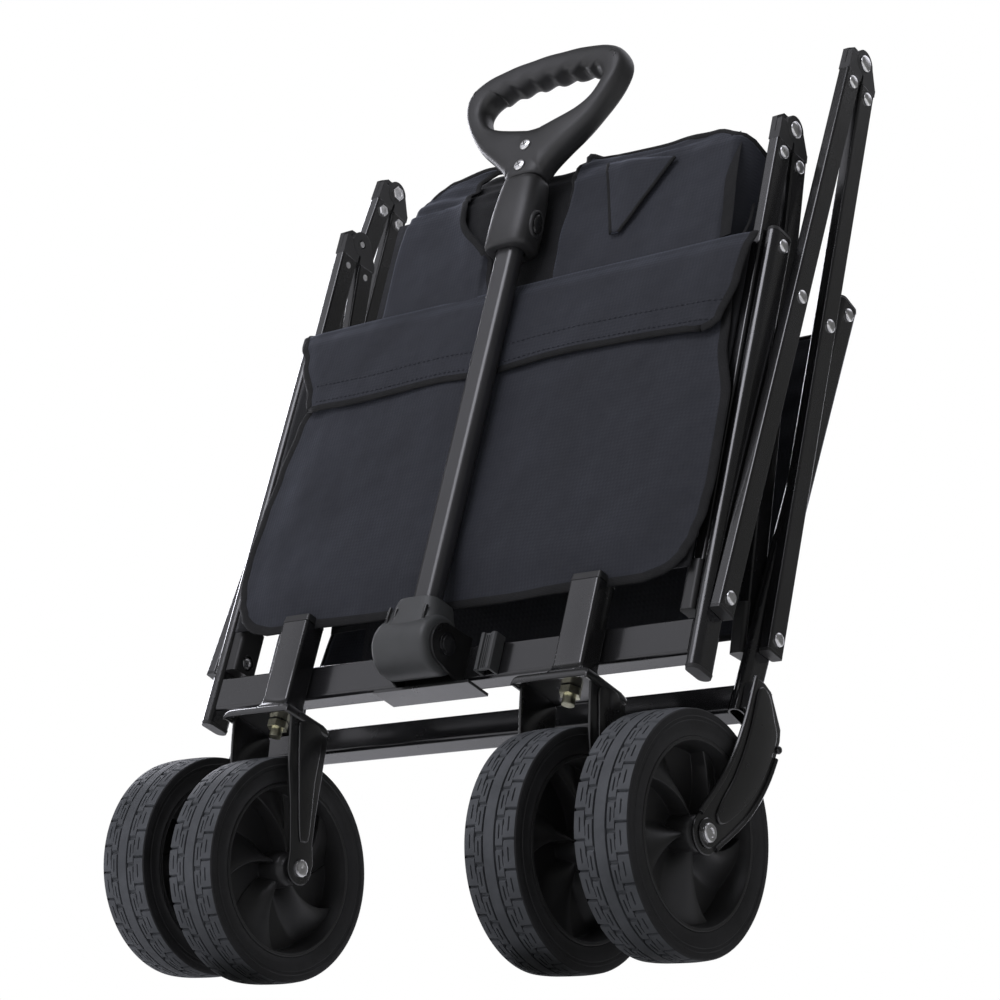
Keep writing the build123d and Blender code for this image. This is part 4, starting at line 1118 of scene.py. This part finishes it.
def layer(name, low_edge, high_edge, edge_side, proud, seed):
    """A second layer over the gathered cloth, bound along its free edge.

    low_edge and high_edge give its two sides at a height; edge_side is the free one: 0 or 1.
    """

    def point(u, v):
        z_mid = mix(LAYER_FOOT, 730, v)
        x = mix(low_edge(z_mid), high_edge(z_mid), u)
        z = mix(LAYER_FOOT, crest(x) - 1.5, v)
        free = smooth(1 - abs(u - edge_side) * 4)
        curl = 2.6 * free * smooth(sin(pi * min(v * 1.1, 1)))
        guard = -20.9 if abs(x) < 40 else -28.5
        edge = smooth(min(x - WALL_LEFT + 1, WALL_RIGHT + 1 - x) / 14)
        y = gather_y(x, z, True) - (proud + curl) * max(edge, 0.5) - 1.2 * creases(x, z, seed) * smooth(v * 3)
        return at(x, max(y, guard), z)

    obj = soft_sheet(name, point, 60, 40, 1.6, panel_cloth, "floor_front")
    paths = [edge_points(point, 40, u=edge_side), edge_points(point, 40, v=1.0)]
    edging(f"{name}_binding", paths, "floor_front", 6.5, 3.0)


layer(
    "left_layer",
    lambda z: WALL_LEFT - 1,
    lambda z: table([(586, -26), (617, -36), (668, -80), (700, -93), (716, -98), (725, -90), (730, -54)], z),
    1,
    3.6,
    61.0,
)
layer(
    "right_layer",
    lambda z: table([(586, 37), (635, 38), (684, 40), (703, 34), (740, 26)], z),
    lambda z: 219,
    0,
    3.2,
    71.0,
)


def fold_triangle(u, v):
    """A triangular fold of the wall that hangs down beside the handle."""
    top_x = mix(72, 143, u)
    x = mix(top_x, mix(96, 103, u), v**0.9)
    z = mix(mix(702, 690, u), 622, v)
    return at(x, gather_y(x, z, True) - 7.4 - 2.2 * sin(pi * u) * (1 - v) + 0.8 * flow(x, z, 30, 6.0), z)


triangle = soft_sheet("fold_triangle", fold_triangle, 26, 22, 1.6, panel_cloth, "floor_front")
tri_edges = [edge_points(fold_triangle, 16, u=u) for u in (0.0, 1.0)]
edging("fold_binding", tri_edges, "floor_front", 4.0, 2.4)

# a webbing strap and a loose tape at the right of the gathered cloth
mesh = Mesh()
strap = [(190, -9, 706), (198, -16, 690), (203, -22, 668), (206, -24, 645), (208, -23, 618), (208, -21, 596)]
tape = [(219, -6, 634), (223, -12, 612), (222, -19, 590), (219, -24, 572), (214, -27, 560)]
for route, width, height, count in ((strap, 15, 1.8, 12), (tape, 4, 2.4, 8)):
    mesh.tube([at(*p) for p in catmull(route, 6)], width * MM, height * MM, (0.3, 1, 0), count)
mesh.build("wall_strap", [binding_cloth], "floor_front", ())


def rear_wall_point(u, v):
    x = mix(-WALL_HALF, WALL_HALF, u)
    up = mix(22, 317, v)
    y, z = rear_point(18.5 + 1.6 * creases(x, up, 41.0), up)
    return at(x, y, z)


rear_wall = soft_sheet(
    "rear_wall", rear_wall_point, 90, 56, 2.2, panel_cloth, "rear_frame", ["rear_panel"]
)
rear_edges = [edge_points(rear_wall_point, 60, v=v) for v in (0.0, 1.0)]
rear_edges += [edge_points(rear_wall_point, 40, u=u) for u in (0.0, 1.0)]
edging("rear_wall_binding", rear_edges, "rear_frame", 6.0, 3.2)


BOARD_HALF = 164.5
BOARD_LOW = 27
BOARD_HIGH = 423


def border(rows):
    """The points around a grid's edge, in order."""
    loop = rows[0] + [r[-1] for r in rows[1:]] + list(reversed(rows[-1]))[1:]
    return loop + [r[0] for r in reversed(rows[:-1])][:-1]


def board(name, rail, side, body, node):
    """A floor board in a cloth sleeve with a raised border."""
    half = BOARD_HALF
    mesh = Mesh()
    for near in (5.2, 9.8):
        rows = []
        for j in range(41):
            d = mix(BOARD_LOW, BOARD_HIGH, j / 40)
            cy, cz = rail.at(d)
            row = []
            for i in range(49):
                x = mix(-half, half, i / 48)
                rim = min(half - abs(x), d - BOARD_LOW, BOARD_HIGH - d)
                puff = 0.6 * smooth(rim / 12) if near > 6 else 0.0
                fold_line = 0.9 * smooth(1 - abs(abs(x) - 55) / 4) if near > 6 else 0.0
                offset = near + puff - fold_line
                row.append(at(x, cy - side * offset * rail.up[1], cz + side * offset * rail.up[0]))
            rows.append(row)
        mesh.rows(rows, flip=near > 6)
        if near < 6:
            first = rows
    mesh.rows([border(first), border(rows)], wrap_cols=True)
    return mesh.build(name, [mesh_cloth], body, [node], angle=40, weld=True)


board("board_front", floor_front, 1, "floor_front", "floor_board_front")
board("board_rear", floor_rear, -1, "floor_rear", "floor_board_rear")


def lining_point(u, v):
    """The slack lining between the boards."""
    d = mix(62, 348, v)
    cy, cz = floor_rear.at(d)
    x = mix(-213, 213, u)
    offset = 14 + 2.2 * creases(x, cz, 51.0) + 0.9 * sin(x / 13.0 + flow(x, cz, 60, 8.0) * 2)
    return at(x, cy + offset * floor_rear.up[1], cz - offset * floor_rear.up[0])


# The slack lining takes the near-black cloth: painted shade between the boards.
lining = soft_sheet(
    "slack_lining", lining_point, 90, 50, 1.6, shade_dark_cloth, "floor_rear", ["folded_fabric_rear"]
)


# ---------------------------------------------------------------- stage, lights, camera
def wire(tree, source, output, target, entry):
    tree.links.new(source.outputs[output], target.inputs[entry])


me = bpy.data.meshes.new("studio_floor")
HALF_FLOOR = 40.0
corners = [(sx * HALF_FLOOR, sy * HALF_FLOOR, 0) for sx, sy in SQUARE]
me.from_pydata(corners, [], [(0, 1, 2, 3)])
floor = bpy.data.objects.new("studio_floor", me)
floor.location.z = -0.0005
bpy.context.scene.collection.objects.link(floor)
pale = bpy.data.materials.new("pale_floor")
pale.use_nodes = True
tree = pale.node_tree
surface = tree.nodes["Principled BSDF"]
surface.inputs["Base Color"].default_value = (0.82, 0.82, 0.82, 1)
surface.inputs["Roughness"].default_value = 0.7
clear = tree.nodes.new("ShaderNodeBsdfTransparent")
side_of = tree.nodes.new("ShaderNodeNewGeometry")
choose = tree.nodes.new("ShaderNodeMixShader")
wire(tree, side_of, "Backfacing", choose, "Fac")
away = tree.nodes.new("ShaderNodeVectorMath")
away.operation = "LENGTH"
wire(tree, side_of, "Position", away, 0)
glow = tree.nodes.new("ShaderNodeMapRange")
for socket, value in (("From Min", 0.9), ("From Max", 3.6), ("To Min", 0.06), ("To Max", 0.78)):
    glow.inputs[socket].default_value = value
wire(tree, away, "Value", glow, "Value")
surface.inputs["Emission Color"].default_value = (1, 1, 1, 1)
wire(tree, glow, "Result", surface, "Emission Strength")
wire(tree, surface, "BSDF", choose, 1)
wire(tree, clear, "BSDF", choose, 2)
wire(tree, choose, "Shader", tree.nodes["Material Output"], "Surface")
me.materials.append(pale)

world = bpy.data.worlds.new("studio")
bpy.context.scene.world = world
world.use_nodes = True
tree = world.node_tree
sky = tree.nodes["Background"]
sky.inputs["Color"].default_value = (1, 1, 1, 1)
sky.inputs["Strength"].default_value = 0.13
white = tree.nodes.new("ShaderNodeBackground")
white.inputs["Color"].default_value = (1, 1, 1, 1)
white.inputs["Strength"].default_value = 1.0
rays = tree.nodes.new("ShaderNodeLightPath")
pick = tree.nodes.new("ShaderNodeMixShader")
wire(tree, rays, "Is Camera Ray", pick, "Fac")
wire(tree, sky, "Background", pick, 1)
wire(tree, white, "Background", pick, 2)
wire(tree, pick, "Shader", tree.nodes["World Output"], "Surface")


def area_light(name, place, target, size, power):
    data = bpy.data.lights.new(name, "AREA")
    data.shape = "RECTANGLE"
    data.size, data.size_y = size
    data.energy = power
    data.color = (0.97, 0.97, 1.06)
    obj = bpy.data.objects.new(name, data)
    obj.location = place
    obj.rotation_euler = (Vector(target) - Vector(place)).to_track_quat("-Z", "Y").to_euler()
    bpy.context.scene.collection.objects.link(obj)


for name, place, size, power in (
    ("key", (-0.2, -3.0, 2.5), (1.8, 1.8), 50),
    ("left_strip", (-2.6, 0.7, 1.3), (0.9, 2.4), 62),
    ("front_soft", (-1.9, -2.4, 1.7), (3.0, 3.0), 18),
    ("top", (0.2, 0.8, 2.8), (2.2, 2.2), 18),
    ("back", (-0.8, 2.8, 1.4), (2.2, 1.8), 18),
):
    area_light(name, place, (0, 0, 0.4), size, power)

AZIMUTH = radians(42.042)
ELEVATION = radians(-25.035)
ROLL = radians(12.514)
DISTANCE = 2060.4
back = Vector((sin(AZIMUTH) * cos(ELEVATION), -cos(AZIMUTH) * cos(ELEVATION), sin(ELEVATION)))
level = Vector((0, 0, 1)).cross(back).normalized()
upright = back.cross(level)
right = level * cos(ROLL) + upright * sin(ROLL)
up = upright * cos(ROLL) - level * sin(ROLL)
data = bpy.data.cameras.new("camera")
SENSOR = 36.0
data.sensor_width = SENSOR
data.lens = SENSOR * 2.5135
data.shift_x = -0.0163
data.shift_y = 0.0876
data.clip_end = 50.0
camera = bpy.data.objects.new("camera", data)
turn = Matrix((right, up, back)).transposed().to_4x4()
camera.matrix_world = Matrix.Translation(at(0, 60, 351.5) + back * DISTANCE * MM) @ turn
bpy.context.scene.collection.objects.link(camera)
bpy.context.scene.camera = camera
bpy.context.scene.view_settings.view_transform = "Standard"
